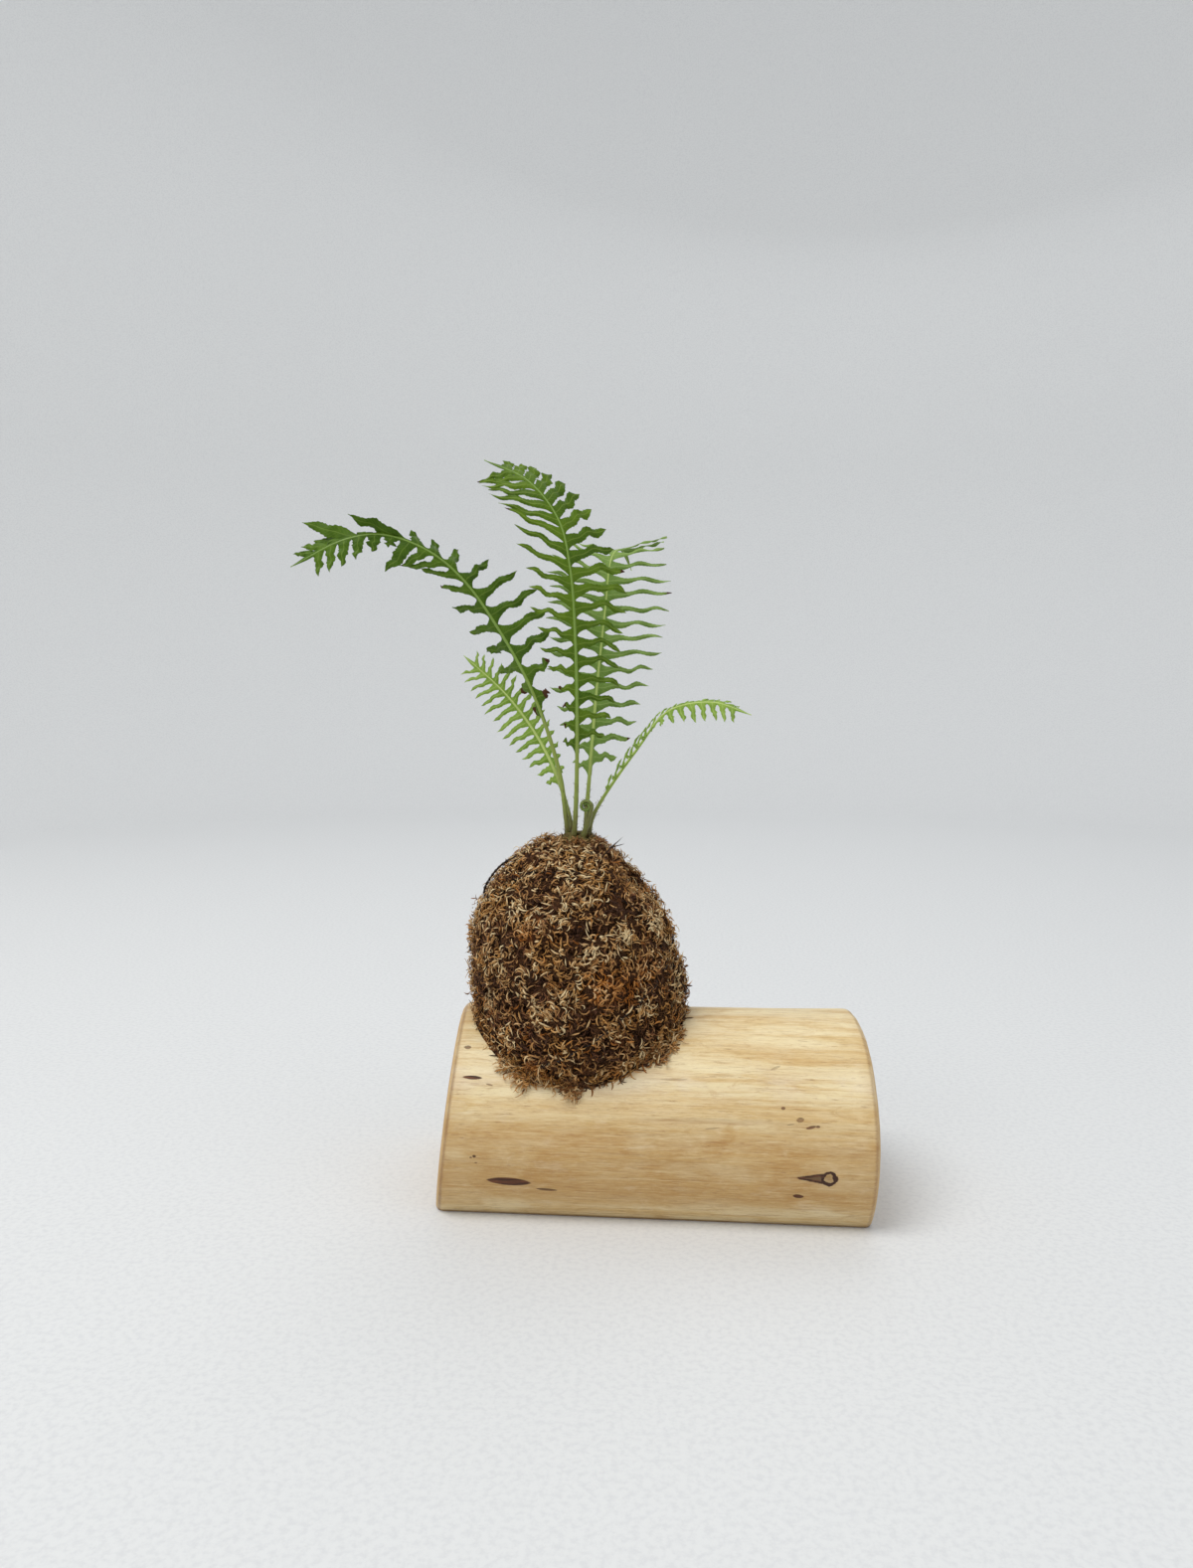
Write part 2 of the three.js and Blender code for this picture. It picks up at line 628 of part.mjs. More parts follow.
const kokedama = new THREE.Group();
const hole = crownHole();
addPiece(kokedama, 'log_stand', toGeometry(buildLog()), 0xd8bd8a, 0.6);
addPiece(kokedama, 'moss_wrap', toGeometry(buildMoss(hole)), 0x9a7b55, 0.95);
addPiece(kokedama, 'soil_core',
  toGeometry(ballSolid(soil.detail, -moss.thickness).subtract(hole)), 0x3a2c20, 1);
addPiece(kokedama, 'binding_thread',
  toGeometry(joinAll(thread.normals.map((normal) => buildThreadLoop(normal, thread.radius)))), 0x2a2018, 0.8);
addPiece(kokedama, 'crown', toGeometry(buildCrown()), 0x4f4a2c, 0.9);
for (const frond of fronds) {
  addPiece(kokedama, frond.name, buildFrond(frond), frond.color, 0.5);
}
addPiece(kokedama, 'crozier', skinRings(crozierRings(0, false)), 0x3d5a24, 0.7);

export default kokedama;
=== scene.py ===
"""A kokedama on its log stand: a fern planted in a ball of soil, which is wrapped with dried moss, bound
with dark thread and seated in a hollow scooped in a peeled half log.

Sizes are millimetres in the part's own frame: +Z up, +X along the log, the front at -Y. They become metres
when a mesh is made. Shaders read positions in millimetres too.
"""
import logging
import math
from dataclasses import dataclass, field
from enum import Enum
from typing import Any, Callable, Optional, Sequence, Union

import bmesh
import bpy
import numpy as np
from mathutils import Matrix, Vector


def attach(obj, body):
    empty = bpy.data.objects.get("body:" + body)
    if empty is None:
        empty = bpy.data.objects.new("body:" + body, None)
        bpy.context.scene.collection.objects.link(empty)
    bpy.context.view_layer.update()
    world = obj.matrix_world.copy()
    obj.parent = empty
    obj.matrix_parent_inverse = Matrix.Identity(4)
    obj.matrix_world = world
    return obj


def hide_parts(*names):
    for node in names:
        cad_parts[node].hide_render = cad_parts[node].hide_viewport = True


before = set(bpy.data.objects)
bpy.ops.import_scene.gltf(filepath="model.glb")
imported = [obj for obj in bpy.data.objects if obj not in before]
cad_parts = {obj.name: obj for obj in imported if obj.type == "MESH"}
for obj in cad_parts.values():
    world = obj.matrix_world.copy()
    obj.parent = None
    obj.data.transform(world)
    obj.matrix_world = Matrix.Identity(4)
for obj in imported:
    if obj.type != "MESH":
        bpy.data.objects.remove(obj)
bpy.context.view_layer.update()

log = logging.getLogger("kokedama")

MM = 0.001
LOG_AXIS_HEIGHT = 31.1
CROWN_AXIS = (-32.5, -3.5)
CROWN_SLOPE = 0.012
NO_SHARP_EDGE = 180.0

Material = bpy.types.Material
Array = np.ndarray
Table = list[list[float]]
Point = tuple[float, float, float]
Colour = tuple[float, float, float, float]


class Slot(Enum):
    """The record's material slots."""

    WOOD = "peeled_wood"
    MOSS = "dried_moss"
    SOIL = "soil"
    THREAD = "dark_thread"
    RHIZOME = "rhizome"
    DEEP_GREEN = "deep_green_frond"
    LIGHT_GREEN = "light_green_frond"
    PALE_GREEN = "pale_green_frond"


class Side(Enum):
    """The side of a frond's midrib that a lobe stands on, seen from its upper face."""

    LEFT = -1
    RIGHT = 1


def paint(*channels: int) -> Colour:
    """A linear colour.

    Args:
        channels: The red, green and blue, 0 to 255, that a screen would show it by.

    Returns:
        The colour, with its opacity.
    """
    shares = [value / 255 for value in channels]
    linear = [s / 12.92 if s <= 0.04045 else ((s + 0.055) / 1.055) ** 2.4 for s in shares]
    return (linear[0], linear[1], linear[2], 1.0)


# Shader building.


def arithmetic(operation: str, reflected: bool = False) -> Callable[["Sock", "Number"], "Sock"]:
    """An operator of Sock, which adds one Math node.

    Args:
        operation: The node's operation.
        reflected: Whether the other value comes first.

    Returns:
        The operator's method.
    """

    def apply(self: "Sock", other: "Number") -> "Sock":
        """This value and the other under the operator."""
        return self.math(operation, other, self) if reflected else self.math(operation, self, other)

    return apply


class Sock:
    """A value inside a shader, on which arithmetic adds Math nodes."""

    __add__, __radd__ = arithmetic("ADD"), arithmetic("ADD", True)
    __sub__, __rsub__ = arithmetic("SUBTRACT"), arithmetic("SUBTRACT", True)
    __mul__, __rmul__ = arithmetic("MULTIPLY"), arithmetic("MULTIPLY", True)
    __truediv__, __rtruediv__ = arithmetic("DIVIDE"), arithmetic("DIVIDE", True)
    __pow__, __rpow__ = arithmetic("POWER"), arithmetic("POWER", True)

    def __init__(self, shader: "Shader", socket: bpy.types.NodeSocket) -> None:
        """Wraps the output of one of the shader's nodes."""
        self.shader = shader
        self.socket = socket

    def math(self, operation: str, *values: "Number") -> "Sock":
        """A Math node on the given values, in their order."""
        return self.shader.node("ShaderNodeMath", {"operation": operation}, dict(enumerate(values)))

    def absolute(self) -> "Sock":
        """This value without its sign."""
        return self.math("ABSOLUTE", self)

    def fraction(self) -> "Sock":
        """The part of this value after the point."""
        return self.math("FRACT", self)

    def greatest(self, other: "Number") -> "Sock":
        """The greater of this value and the other."""
        return self.math("MAXIMUM", self, other)

    def step(self, low: float, high: float) -> "Sock":
        """A soft step: 0 where this value is at low and 1 where it is at high, which may be less."""
        ends = {0: self, 1: low, 2: high, 3: 0.0, 4: 1.0}
        return self.shader.node("ShaderNodeMapRange", {"interpolation_type": "SMOOTHSTEP"}, ends)

    def close_to(self, place: float, width: float) -> "Sock":
        """A soft line that is 1 where this value is at the place and 0 further than the width from it."""
        return (self - place).absolute().step(width, 0.0)


Number = Union[Sock, float]
Paint = Union[Sock, Colour]
Stretch = Union[float, Point]


class Shader:
    """One material under construction."""

    def __init__(self, name: str) -> None:
        """Starts an empty material.

        Args:
            name: The material's name.
        """
        self.material = bpy.data.materials.new(name)
        self.material.use_nodes = True
        self.tree = self.material.node_tree
        self.tree.nodes.clear()

    def node(
        self, kind: str, settings: Optional[dict[str, Any]] = None,
        inputs: Optional[dict[Union[int, str], Any]] = None, output: Union[int, str] = 0,
    ) -> Sock:
        """Adds a node.

        Args:
            kind: Blender's name for the node's type.
            settings: What is set on the node itself before its sockets, such as a Math node's operation.
            inputs: The value of each socket, or the value that is linked to it.
            output: Which of the node's outputs is wanted.

        Returns:
            That output.
        """
        made = self.tree.nodes.new(kind)
        for name, value in (settings or {}).items():
            setattr(made, name, value)
        for key, value in (inputs or {}).items():
            if isinstance(value, Sock):
                self.tree.links.new(value.socket, made.inputs[key])
            else:
                made.inputs[key].default_value = value
        return Sock(self, made.outputs[output])

    def place(self, stretch: Stretch = 1.0, shift: Point = (0, 0, 0)) -> Sock:
        """The point's own place in millimetres, stretched and then shifted.

        Args:
            stretch: What the coordinates are multiplied by.
            shift: What is then added to each.

        Returns:
            The vector.
        """
        coordinates = self.node("ShaderNodeTexCoord", output="Object")
        scale = tuple(value / MM for value in (stretch if isinstance(stretch, tuple) else (stretch,) * 3))
        inputs = {0: coordinates, 1: scale, 2: shift}
        return self.node("ShaderNodeVectorMath", {"operation": "MULTIPLY_ADD"}, inputs)

    def split(self, vector: Sock) -> tuple[Sock, Sock, Sock]:
        """The three coordinates of a vector."""
        parts = self.tree.nodes.new("ShaderNodeSeparateXYZ")
        self.tree.links.new(vector.socket, parts.inputs[0])
        return Sock(self, parts.outputs[0]), Sock(self, parts.outputs[1]), Sock(self, parts.outputs[2])

    def join(self, x: Number, y: Number, z: Number) -> Sock:
        """A vector from three coordinates."""
        return self.node("ShaderNodeCombineXYZ", inputs={0: x, 1: y, 2: z})

    def noise(
        self, where: Union[Sock, Stretch], detail: float, roughness: float, warp: float = 0.0,
        shift: Point = (0, 0, 0),
    ) -> Sock:
        """Cloudy noise about 0.5.

        Args:
            where: Where it is read, one unit to a cloud, or how many clouds a millimetre of the piece has.
            detail: How many finer layers it has.
            roughness: How strong the finer layers are.
            warp: How far the clouds are pulled about.
            shift: How far they are moved, where they are counted by the millimetre.

        Returns:
            The noise.
        """
        vector = where if isinstance(where, Sock) else self.place(where, shift)
        inputs = {"Vector": vector, "Scale": 1.0, "Detail": detail, "Roughness": roughness}
        return self.node("ShaderNodeTexNoise", None, inputs | {"Distortion": warp})

    def carried(self, name: str) -> Sock:
        """A value that the mesh carries under the given name."""
        return self.node("ShaderNodeAttribute", {"attribute_name": name}, output="Fac")

    def coats(self, colour: Paint, *coats: tuple[Number, Paint]) -> Sock:
        """Lays coats over a colour, each with a Mix node.

        Args:
            colour: The colour underneath.
            coats: How much of each coat there is, and the coat's own colour.

        Returns:
            The colour on top.
        """
        settings = {"data_type": "RGBA", "blend_type": "MIX", "clamp_result": True}
        for share, coat in coats:
            colour = self.node("ShaderNodeMix", settings, {0: share, 6: colour, 7: coat}, 2)
        return colour

    def surface(
        self, colour: Paint, roughness: Number, height: Optional[Sock] = None,
        glow_through: Optional[tuple[float, Paint]] = None, **constants: float,
    ) -> Material:
        """Ends the material with its surface.

        Args:
            colour: The base colour.
            roughness: The roughness.
            height: The fine relief in millimetres.
            glow_through: The share and the colour of light that passes from behind, for a thin leaf.
            constants: Values of the surface's other sockets, with _ for each space in a name.

        Returns:
            The material.
        """
        inputs: dict[Union[int, str], Any] = {"Base Color": colour, "Roughness": roughness}
        inputs.update({name.replace("_", " "): value for name, value in constants.items()})
        if height is not None:
            bump = self.node("ShaderNodeBump", None, {"Strength": 1.0, "Distance": MM, "Height": height})
            inputs["Normal"] = bump
        shown = self.node("ShaderNodeBsdfPrincipled", None, inputs)
        if glow_through is not None:
            share, tint = glow_through
            behind = self.node("ShaderNodeBsdfTranslucent", None, {"Color": tint})
            shown = self.node("ShaderNodeMixShader", None, {0: share, 1: shown, 2: behind})
        end = self.tree.nodes.new("ShaderNodeOutputMaterial")
        self.tree.links.new(shown.socket, end.inputs["Surface"])
        return self.material


# Finishes.


@dataclass(frozen=True)
class EndCut:
    """One sawn end of the log: where it crosses the axis, and its slopes over the height and the depth."""

    middle: float
    tilt: float
    turn: float

    def place(self, y: Any, z: Any) -> Any:
        """Where along the log the cut lies at a depth and a height, as numbers or as shader values."""
        return self.middle + self.tilt * (z - LOG_AXIS_HEIGHT) + self.turn * y


@dataclass(frozen=True)
class WoodMark:
    """A dark mark in the log's front: a lens in the grain, with one end drawn out where it has a tail."""

    x: float
    z: float
    half_length: float
    half_height: float
    slope: float = 0.0
    strength: float = 1.0
    rough: float = 0.6


def wood_marks(*rows: Sequence[float]) -> tuple[WoodMark, ...]:
    """The marks whose values the rows give, in the order of the fields."""
    return tuple(WoodMark(*row) for row in rows)


@dataclass(frozen=True)
class PeeledWood:
    """Pale peeled sapwood: fine straight grain, darker streaks, dark marks, a knot, sawn ends, painted shade
    and highlight.
    """

    left: EndCut
    right: EndCut
    name: str = "peeled_wood"
    cream: Colour = paint(235, 217, 173)
    straw: Colour = paint(221, 194, 139)
    tan: Colour = paint(203, 164, 103)
    ochre: Colour = paint(188, 145, 84)
    brown: Colour = paint(158, 112, 68)
    dark: Colour = paint(62, 36, 22)
    umber: Colour = paint(112, 66, 40)
    wear_and_highlight: Colour = paint(242, 230, 204)
    end_light: Colour = paint(208, 174, 124)
    end_dark: Colour = paint(160, 116, 72)
    seam_height: float = 46.6
    highlight_height: float = 60.0
    pith_height: float = 27.0
    knot: tuple[float, float] = (76.3, 25.3)
    knot_radius: float = 2.75
    tail_length: float = 11.0
    marks: tuple[WoodMark, ...] = wood_marks(
        (-57.6, 18.7, 9.6, 1.85, -0.03, 1, 0.25), (-41.5, 15.4, 4.6, 0.6, -0.05, 0.8, 0.4),
        (-74.6, 60.4, 4.3, 0.65, -0.03, 1, 0.5), (-66.9, 58, 1.5, 0.3, -0.2, 0.6),
        (63.9, 16.8, 2.3, 0.9, -0.05, 1), (-72.1, 29.8, 0.8, 0.6, 0, 0.9), (-73.6, 29.2, 0.6, 0.4, 0, 0.7),
        (-71.4, 26.9, 0.6, 0.35, 0, 0.6), (-78.3, 70.6, 1.6, 0.6, 0, 0.7),
        (54.7, 66.7, 2.2, 0.4, 0.3, 0.3), (57.5, 52.9, 0.9, 0.55, 0, 0.8),
        (64.4, 48.9, 1.6, 0.9, 0.1, 0.6), (68.8, 46.2, 2.1, 0.6, 0.25, 0.85),
        (71.6, 46.6, 0.9, 0.5, 0, 0.8), (60.5, 47, 1.6, 0.25, 0.15, 0.4), (28, 44.5, 3, 0.3, 0.1, 0.3),
        (12, 62, 6, 0.3, 0.02, 0.3),
    )

    def build(self) -> Material:
        """Makes the wood."""
        s = Shader(self.name)
        x, y, z = s.split(s.place())
        bands = s.noise((0.006, 0.07, 0.07), 3.0, 0.5, 0.3, (2, 5, 9))
        streaks = s.noise((0.013, 0.24, 0.24), 5.0, 0.62, 0.3)
        grain = s.noise((0.05, 1.3, 1.3), 4.0, 0.65, 0.2)
        fibres = s.noise((0.22, 3.2, 3.2), 3.0, 0.7)
        clouds = s.noise((0.035, 0.09, 0.09), 4.0, 0.6, 0.8, (3, 7, 1))
        flecks = s.noise((0.11, 1.0, 1.0), 4.0, 0.72, 0.4, (11, 2, 5))
        blotches = s.noise((0.045, 0.15, 0.15), 5.0, 0.72, 1.2, (4, 1, 7))
        front = y.step(-24.0, -38.0)
        # Painted shade: the front's lower half is darker and more ochre. It fades out towards the bottom
        # edge, which is left lighter as painted light from the floor.
        low = z.step(50.0, 38.0) * z.step(4.0, 14.0) * front
        seam = z + (streaks - 0.5) * 5.0 + (clouds - 0.5) * 3.0
        # Painted shade: a brown line along the ridge at the seam height, which is also cut in as a shallow
        # groove.
        shaded_crease = seam.close_to(self.seam_height, 1.7) * x.step(-20.0, 20.0) * x.step(66.0, 30.0) * front
        inside_left, inside_right = self.left.place(y, z) - x, x - self.right.place(y, z)
        depth = inside_left.greatest(inside_right) + (grain - 0.5) * 0.7
        end, rim = depth.step(-1.3, -0.5), depth.close_to(-1.9, 1.3)
        colour = s.coats(
            self.cream,
            ((streaks * 0.6 + clouds * 0.4).step(0.42, 0.6), self.straw),
            (bands.step(0.42, 0.66) * 0.55, self.tan),
            (low * (0.68 + (clouds - 0.5) * 1.1), self.ochre),
            (streaks.step(0.52, 0.68) * 0.5, self.tan),
            (clouds.step(0.56, 0.76) * 0.4, self.ochre),
            (blotches.step(0.54, 0.7) * 0.45, self.ochre),
            (blotches.step(0.46, 0.3) * 0.18, self.wear_and_highlight),
            (flecks.step(0.56, 0.72) * 0.55, self.brown),
            # Painted highlight: a whitish band across the front, higher up.
            (z.close_to(self.highlight_height, 9.0) * front * clouds.step(0.35, 0.6) * 0.5, self.wear_and_highlight),
            (grain.step(0.52, 0.74) * 0.46, self.brown),
            (grain.step(0.47, 0.28) * 0.4, self.cream),
            (fibres.step(0.5, 0.72) * 0.34, self.brown),
            (fibres.step(0.5, 0.3) * 0.3, self.cream),
            # Painted shadow: a thin dark line along the bottom edge, for the gap under the log.
            (z.step(1.7, 0.4) * 0.6, self.umber),
            (shaded_crease * 0.3, self.brown),
            (depth.step(-9.0, -1.0) * 0.25, self.ochre),
            (rim * (0.1 + clouds * 0.4 + inside_left.step(-3.0, -1.0) * 0.3), self.umber),
        )
        colour, end_relief = self._end_grain(s, y, z, colour, end)
        knot, marks = self._marks(s, x, z, y.step(0.0, -5.0))
        stain = s.coats(self.dark, ((grain * 0.6 + flecks * 0.4).step(0.42, 0.62), self.umber))
        bark = s.coats(self.dark, (flecks.step(0.5, 0.65) * 0.6, self.umber))
        colour = s.coats(colour, (marks, stain), (knot, bark))
        marks = marks.greatest(knot)
        height = (grain - 0.5) * 0.14 + (fibres - 0.5) * 0.06 + streaks * 0.3 + end_relief
        height = height - marks * 0.35 - shaded_crease * 0.16 - flecks.step(0.6, 0.75) * 0.06
        roughness = 0.44 + (grain - 0.5) * 0.3 + marks * 0.2 + end * 0.25
        return s.surface(colour, roughness, height, Specular_IOR_Level=0.4)

    def _end_grain(self, s: Shader, y: Sock, z: Sock, colour: Sock, end: Sock) -> tuple[Sock, Sock]:
        """Lays the sawn ends' rings and drying checks over the long grain.

        Args:
            s: The shader.
            y: The depth in the log.
            z: The height in it.
            colour: The long grain's colour.
            end: 1 on the ends.

        Returns:
            The colour, and the relief of the rings.
        """
        wander = s.noise(0.05, 2.0, 0.5)
        across, up = y + (wander - 0.5) * 5.0, z - self.pith_height + (wander - 0.5) * 6.0
        radius = (across * across + up * up) ** 0.5
        rings = (radius * 0.42 + wander * 2.6).fraction().step(0.25, 0.95)
        bearing = s.node("ShaderNodeMath", {"operation": "ARCTAN2"}, {0: up, 1: across})
        spokes = s.noise(s.join(bearing * 9.0, radius * 0.03, 0.0), 3.0, 0.7)
        checks = spokes.step(0.66, 0.74) * radius.step(6.0, 18.0)
        sawn = s.coats(
            self.end_light,
            (rings * wander.step(0.2, 0.7) * 0.5, self.end_dark),
            (s.noise(1.5, 2.0, 0.6).step(0.35, 0.75) * 0.3, self.tan),
            (radius.step(7.0, 1.0) * 0.5, self.brown),
            (checks * 0.7, self.dark),
        )
        return s.coats(colour, (end, sawn)), (rings * 0.12 - checks * 0.4) * end

    def _marks(self, s: Shader, x: Sock, z: Sock, front: Sock) -> tuple[Sock, Sock]:
        """The front's knot, with a tail to the left, and its dark marks.

        Args:
            s: The shader.
            x: The place along the log.
            z: The height.
            front: 1 on the log's front.

        Returns:
            How dark the knot and the marks make each point, between 0 and 1.
        """
        ragged = s.noise((0.5, 1.2, 1.2), 3.0, 0.7) - 0.5
        wobble = s.noise((0.36, 0.4, 0.4), 2.0, 0.6, 0.0, (6, 2, 3)) - 0.5
        dx, dz = x - self.knot[0], z - self.knot[1]
        reach = (dx * dx + dz * dz * 1.35) ** 0.5 + wobble * 3.0 + ragged * 1.1
        ring = reach.close_to(self.knot_radius, 1.25).step(0.05, 0.45)
        tail = -1.0 * dx - self.knot_radius
        shape = dz.absolute() * 0.9 + ragged * 0.7 + tail * 0.16
        length = tail.step(-0.6, 0.4) * tail.step(self.tail_length, self.tail_length - 1.4)
        wedge = length * shape.step(2.2, 1.8) * (0.8 + shape.step(0.7, 1.5) * 0.2)
        knot = ring.greatest(reach.step(self.knot_radius, 1.0) * 0.32).greatest(wedge)
        total: Number = 0.0
        for mark in self.marks:
            along = (x - mark.x) / mark.half_length
            off = (z - mark.z - (x - mark.x) * mark.slope) / mark.half_height
            spread = along * along + off.absolute() ** 1.5 + ragged * mark.rough
            total = (spread.step(1.1, 0.8) * mark.strength).greatest(total)
        return knot * front, total * front


@dataclass(frozen=True)
class DriedMoss:
    """Dried sphagnum: tan and brown strands, rust-red in patches, painted darker towards their roots as
    shade.
    """

    name: str = "dried_moss"
    deep: Colour = paint(46, 24, 15)
    brown: Colour = paint(136, 87, 50)
    tan: Colour = paint(206, 156, 96)
    pale: Colour = paint(252, 228, 178)
    ochre: Colour = paint(210, 150, 70)
    rust: Colour = paint(206, 122, 30)
    wine: Colour = paint(104, 58, 44)

    def build(self) -> Material:
        """Makes the strands' material, which reads the values tone, along and rust of the mesh."""
        s = Shader(self.name)
        tone, along, rust = s.carried("tone"), s.carried("along"), s.carried("rust")
        fine = s.noise(2.4, 3.0, 0.6)
        wide = s.noise(0.12, 3.0, 0.55, 0.0, (5, 3, 9))
        gold = s.noise(0.06, 3.0, 0.6, 0.0, (1, 8, 4))
        dusk = s.noise(0.1, 3.0, 0.6, 0.0, (7, 2, 6))
        shade = tone * 1.15 - 0.26 + (fine - 0.5) * 0.6 + (wide - 0.5) * 0.6
        colour = s.coats(
            self.brown,
            (shade.step(0.1, 0.5), self.tan),
            (gold.step(0.42, 0.62) * 0.5, self.ochre),
            (shade.step(0.45, 0.9) * 0.9, self.pale),
            (dusk.step(0.5, 0.64) * shade.step(0.8, 0.2) * 0.5, self.wine),
            # Painted shade: the darkest strands, and the foot of every strand, go deep brown.
            (shade.step(0.22, -0.05) * 0.8, self.deep),
            (along.step(0.4, 0.0) * 0.5, self.deep),
            (rust * (0.5 + fine * 0.5), self.rust),
        )
        glow = s.coats(colour, (0.5, self.ochre))
        return s.surface(colour, 0.75, (fine - 0.5) * 0.25, (0.12, glow), Specular_IOR_Level=0.3)


@dataclass(frozen=True)
class MossGround:
    """The matted moss between the strands: dark brown, painted partly as the shade in the gaps."""

    name: str = "moss_ground"
    dark: Colour = paint(40, 22, 14)
    brown: Colour = paint(128, 86, 52)
    rust: Colour = paint(120, 66, 28)

    def build(self) -> Material:
        """Makes the material."""
        s = Shader(self.name)
        threads = s.noise((0.7, 0.7, 2.4), 4.0, 0.7, 1.6)
        mat = s.noise(1.5, 4.0, 0.7, 0.9, (4, 4, 4))
        wide = s.noise(0.08, 2.0, 0.5)
        colour = s.coats(
            self.dark,
            ((threads * 0.6 + mat * 0.4).step(0.42, 0.66), self.brown),
            (wide.step(0.55, 0.75) * 0.5, self.rust),
        )
        return s.surface(colour, 0.95, threads * 0.9 + mat * 0.9, Specular_IOR_Level=0.15)


@dataclass(frozen=True)
class FrondLeaf:
    """A fern blade: green with paler veins, withered brown where the mesh says."""

    name: str
    green: Colour
    fresh: Colour
    vein: Colour
    glow: Colour
    withered: Colour = paint(84, 54, 34)

    def build(self) -> Material:
        """Makes the material, which reads the values run, across, tone and dry of the mesh."""
        s = Shader(self.name)
        run, across = s.carried("run"), s.carried("across").absolute()
        tone, dry = s.carried("tone"), s.carried("dry")
        mottled = s.noise(0.35, 3.0, 0.6)
        fine = s.noise(2.6, 3.0, 0.65)
        middle = across.step(0.32, 0.05)
        branch = ((run - across * 1.1) * 0.6).fraction().close_to(0.5, 0.16) * across.step(0.1, 0.5)
        crisp = (dry + (fine - 0.5) * 0.4).step(0.3, 0.6)
        colour = s.coats(
            self.green,
            (tone * 0.6 + mottled.step(0.35, 0.7) * 0.4, self.fresh),
            (middle * 0.55 + branch * 0.22, self.vein),
            ((fine - 0.5).step(0.05, 0.3) * 0.25, self.vein),
            (crisp, self.withered),
        )
        height = middle * -0.06 + branch * 0.05 + (fine - 0.5) * 0.05 + (mottled - 0.5) * 0.12
        roughness = 0.5 + (mottled - 0.5) * 0.2 + crisp * 0.3
        glow = s.coats(self.glow, (crisp, self.withered))
        return s.surface(colour, roughness, height, (0.22, glow), Specular_IOR_Level=0.2)


@dataclass(frozen=True)
class Stipe:
    """A frond's stalk and midrib: olive brown at its foot, green above, paler towards the tip."""

    name: str
    foot: Colour
    stem: Colour
    rib: Colour
    stem_length: float

    def build(self) -> Material:
        """Makes the material, which reads the value run of the mesh, in millimetres from the foot."""
        s = Shader(self.name)
        run = s.carried("run")
        lines = s.noise((1.8, 1.8, 0.25), 3.0, 0.6)
        spots = s.noise((1.1, 1.1, 0.8), 3.0, 0.65, 0.0, (8, 1, 2))
        colour = s.coats(
            self.foot,
            (run.step(6.0, 26.0), self.stem),
            (run.step(self.stem_length * 0.8, self.stem_length * 1.6), self.rib),
            (lines.step(0.45, 0.7) * 0.3, self.rib),
            (spots.step(0.62, 0.72) * 0.5 * run.step(60.0, 10.0), self.foot),
        )
        height = (lines - 0.5) * 0.12 + (spots - 0.5) * 0.1
        return s.surface(colour, 0.42 + (lines - 0.5) * 0.25, height, Specular_IOR_Level=0.4)


@dataclass(frozen=True)
class Bristle:
    """Dark hair scales at the feet of the stalks."""

    name: str = "dark_bristle"
    dark: Colour = paint(52, 36, 24)
    light: Colour = paint(118, 84, 52)

    def build(self) -> Material:
        """Makes the material, which reads the values tone and along of the mesh."""
        s = Shader(self.name)
        share = s.carried("tone") * 0.6 + s.carried("along") * 0.3
        fine = s.noise(3.0, 2.0, 0.6)
        colour = s.coats(self.dark, (share + (fine - 0.5) * 0.4, self.light))
        return s.surface(colour, 0.6, (fine - 0.5) * 0.1, Specular_IOR_Level=0.3)


@dataclass(frozen=True)
class DarkThread:
    """Dark waxed thread, laid in two plies."""

    name: str = "dark_thread"
    dark: Colour = paint(34, 25, 21)
    light: Colour = paint(66, 46, 34)

    def build(self) -> Material:
        """Makes the material, which reads the values run and tone of the mesh."""
        s = Shader(self.name)
        ply = (s.carried("run") * 0.9 + s.carried("tone") * 2.0).fraction().close_to(0.5, 0.5)
        fuzz = s.noise(4.0, 3.0, 0.7)
        colour = s.coats(self.dark, (ply * 0.4 + (fuzz - 0.5) * 0.7, self.light))
        return s.surface(colour, 0.6, ply * 0.12 + fuzz * 0.06, Specular_IOR_Level=0.35)


@dataclass(frozen=True)
class Crumble:
    """Crumbly dark matter, for the soil and the rhizome's bark."""

    name: str
    dark: Colour
    light: Colour
    grain: float

    def build(self) -> Material:
        """Makes the material."""
        s = Shader(self.name)
        lumps = s.noise(self.grain, 5.0, 0.7, 0.6)
        grit = s.noise(self.grain * 5, 3.0, 0.7, 0.0, (2, 6, 1))
        colour = s.coats(self.dark, ((lumps * 0.6 + grit * 0.4).step(0.38, 0.66), self.light))
        return s.surface(colour, 0.93, lumps * 1.2 + grit * 0.4, Specular_IOR_Level=0.2)


@dataclass(frozen=True)
class PaleFloor:
    """The plain pale ground that the object stands on."""

    name: str = "pale_floor"
    pale: Colour = paint(222, 223, 223)
    grit: Colour = paint(214, 215, 216)

    def build(self) -> Material:
        """Makes the material."""
        s = Shader(self.name)
        grain = s.noise(0.4, 3.0, 0.6)
        colour = s.coats(self.pale, (grain.step(0.4, 0.7), self.grit))
        return s.surface(colour, 0.75, (grain - 0.5) * 0.01, Specular_IOR_Level=0.25)


# Shared shapes.


def unit(vectors: Array) -> Array:
    """Vectors of length 1 in the same directions, along the last axis."""
    return vectors / np.maximum(np.linalg.norm(vectors, axis=-1, keepdims=True), 1e-12)


def smoothstep(value: Any, low: float, high: float) -> Any:
    """A soft step from 0 at low to 1 at high."""
    share = np.clip((np.asarray(value, float) - low) / (high - low), 0.0, 1.0)
    return share * share * (3 - 2 * share)


def lerp(first: Any, second: Any, share: Any) -> Any:
    """The value at a share of the way from first to second."""
    return first + (second - first) * share


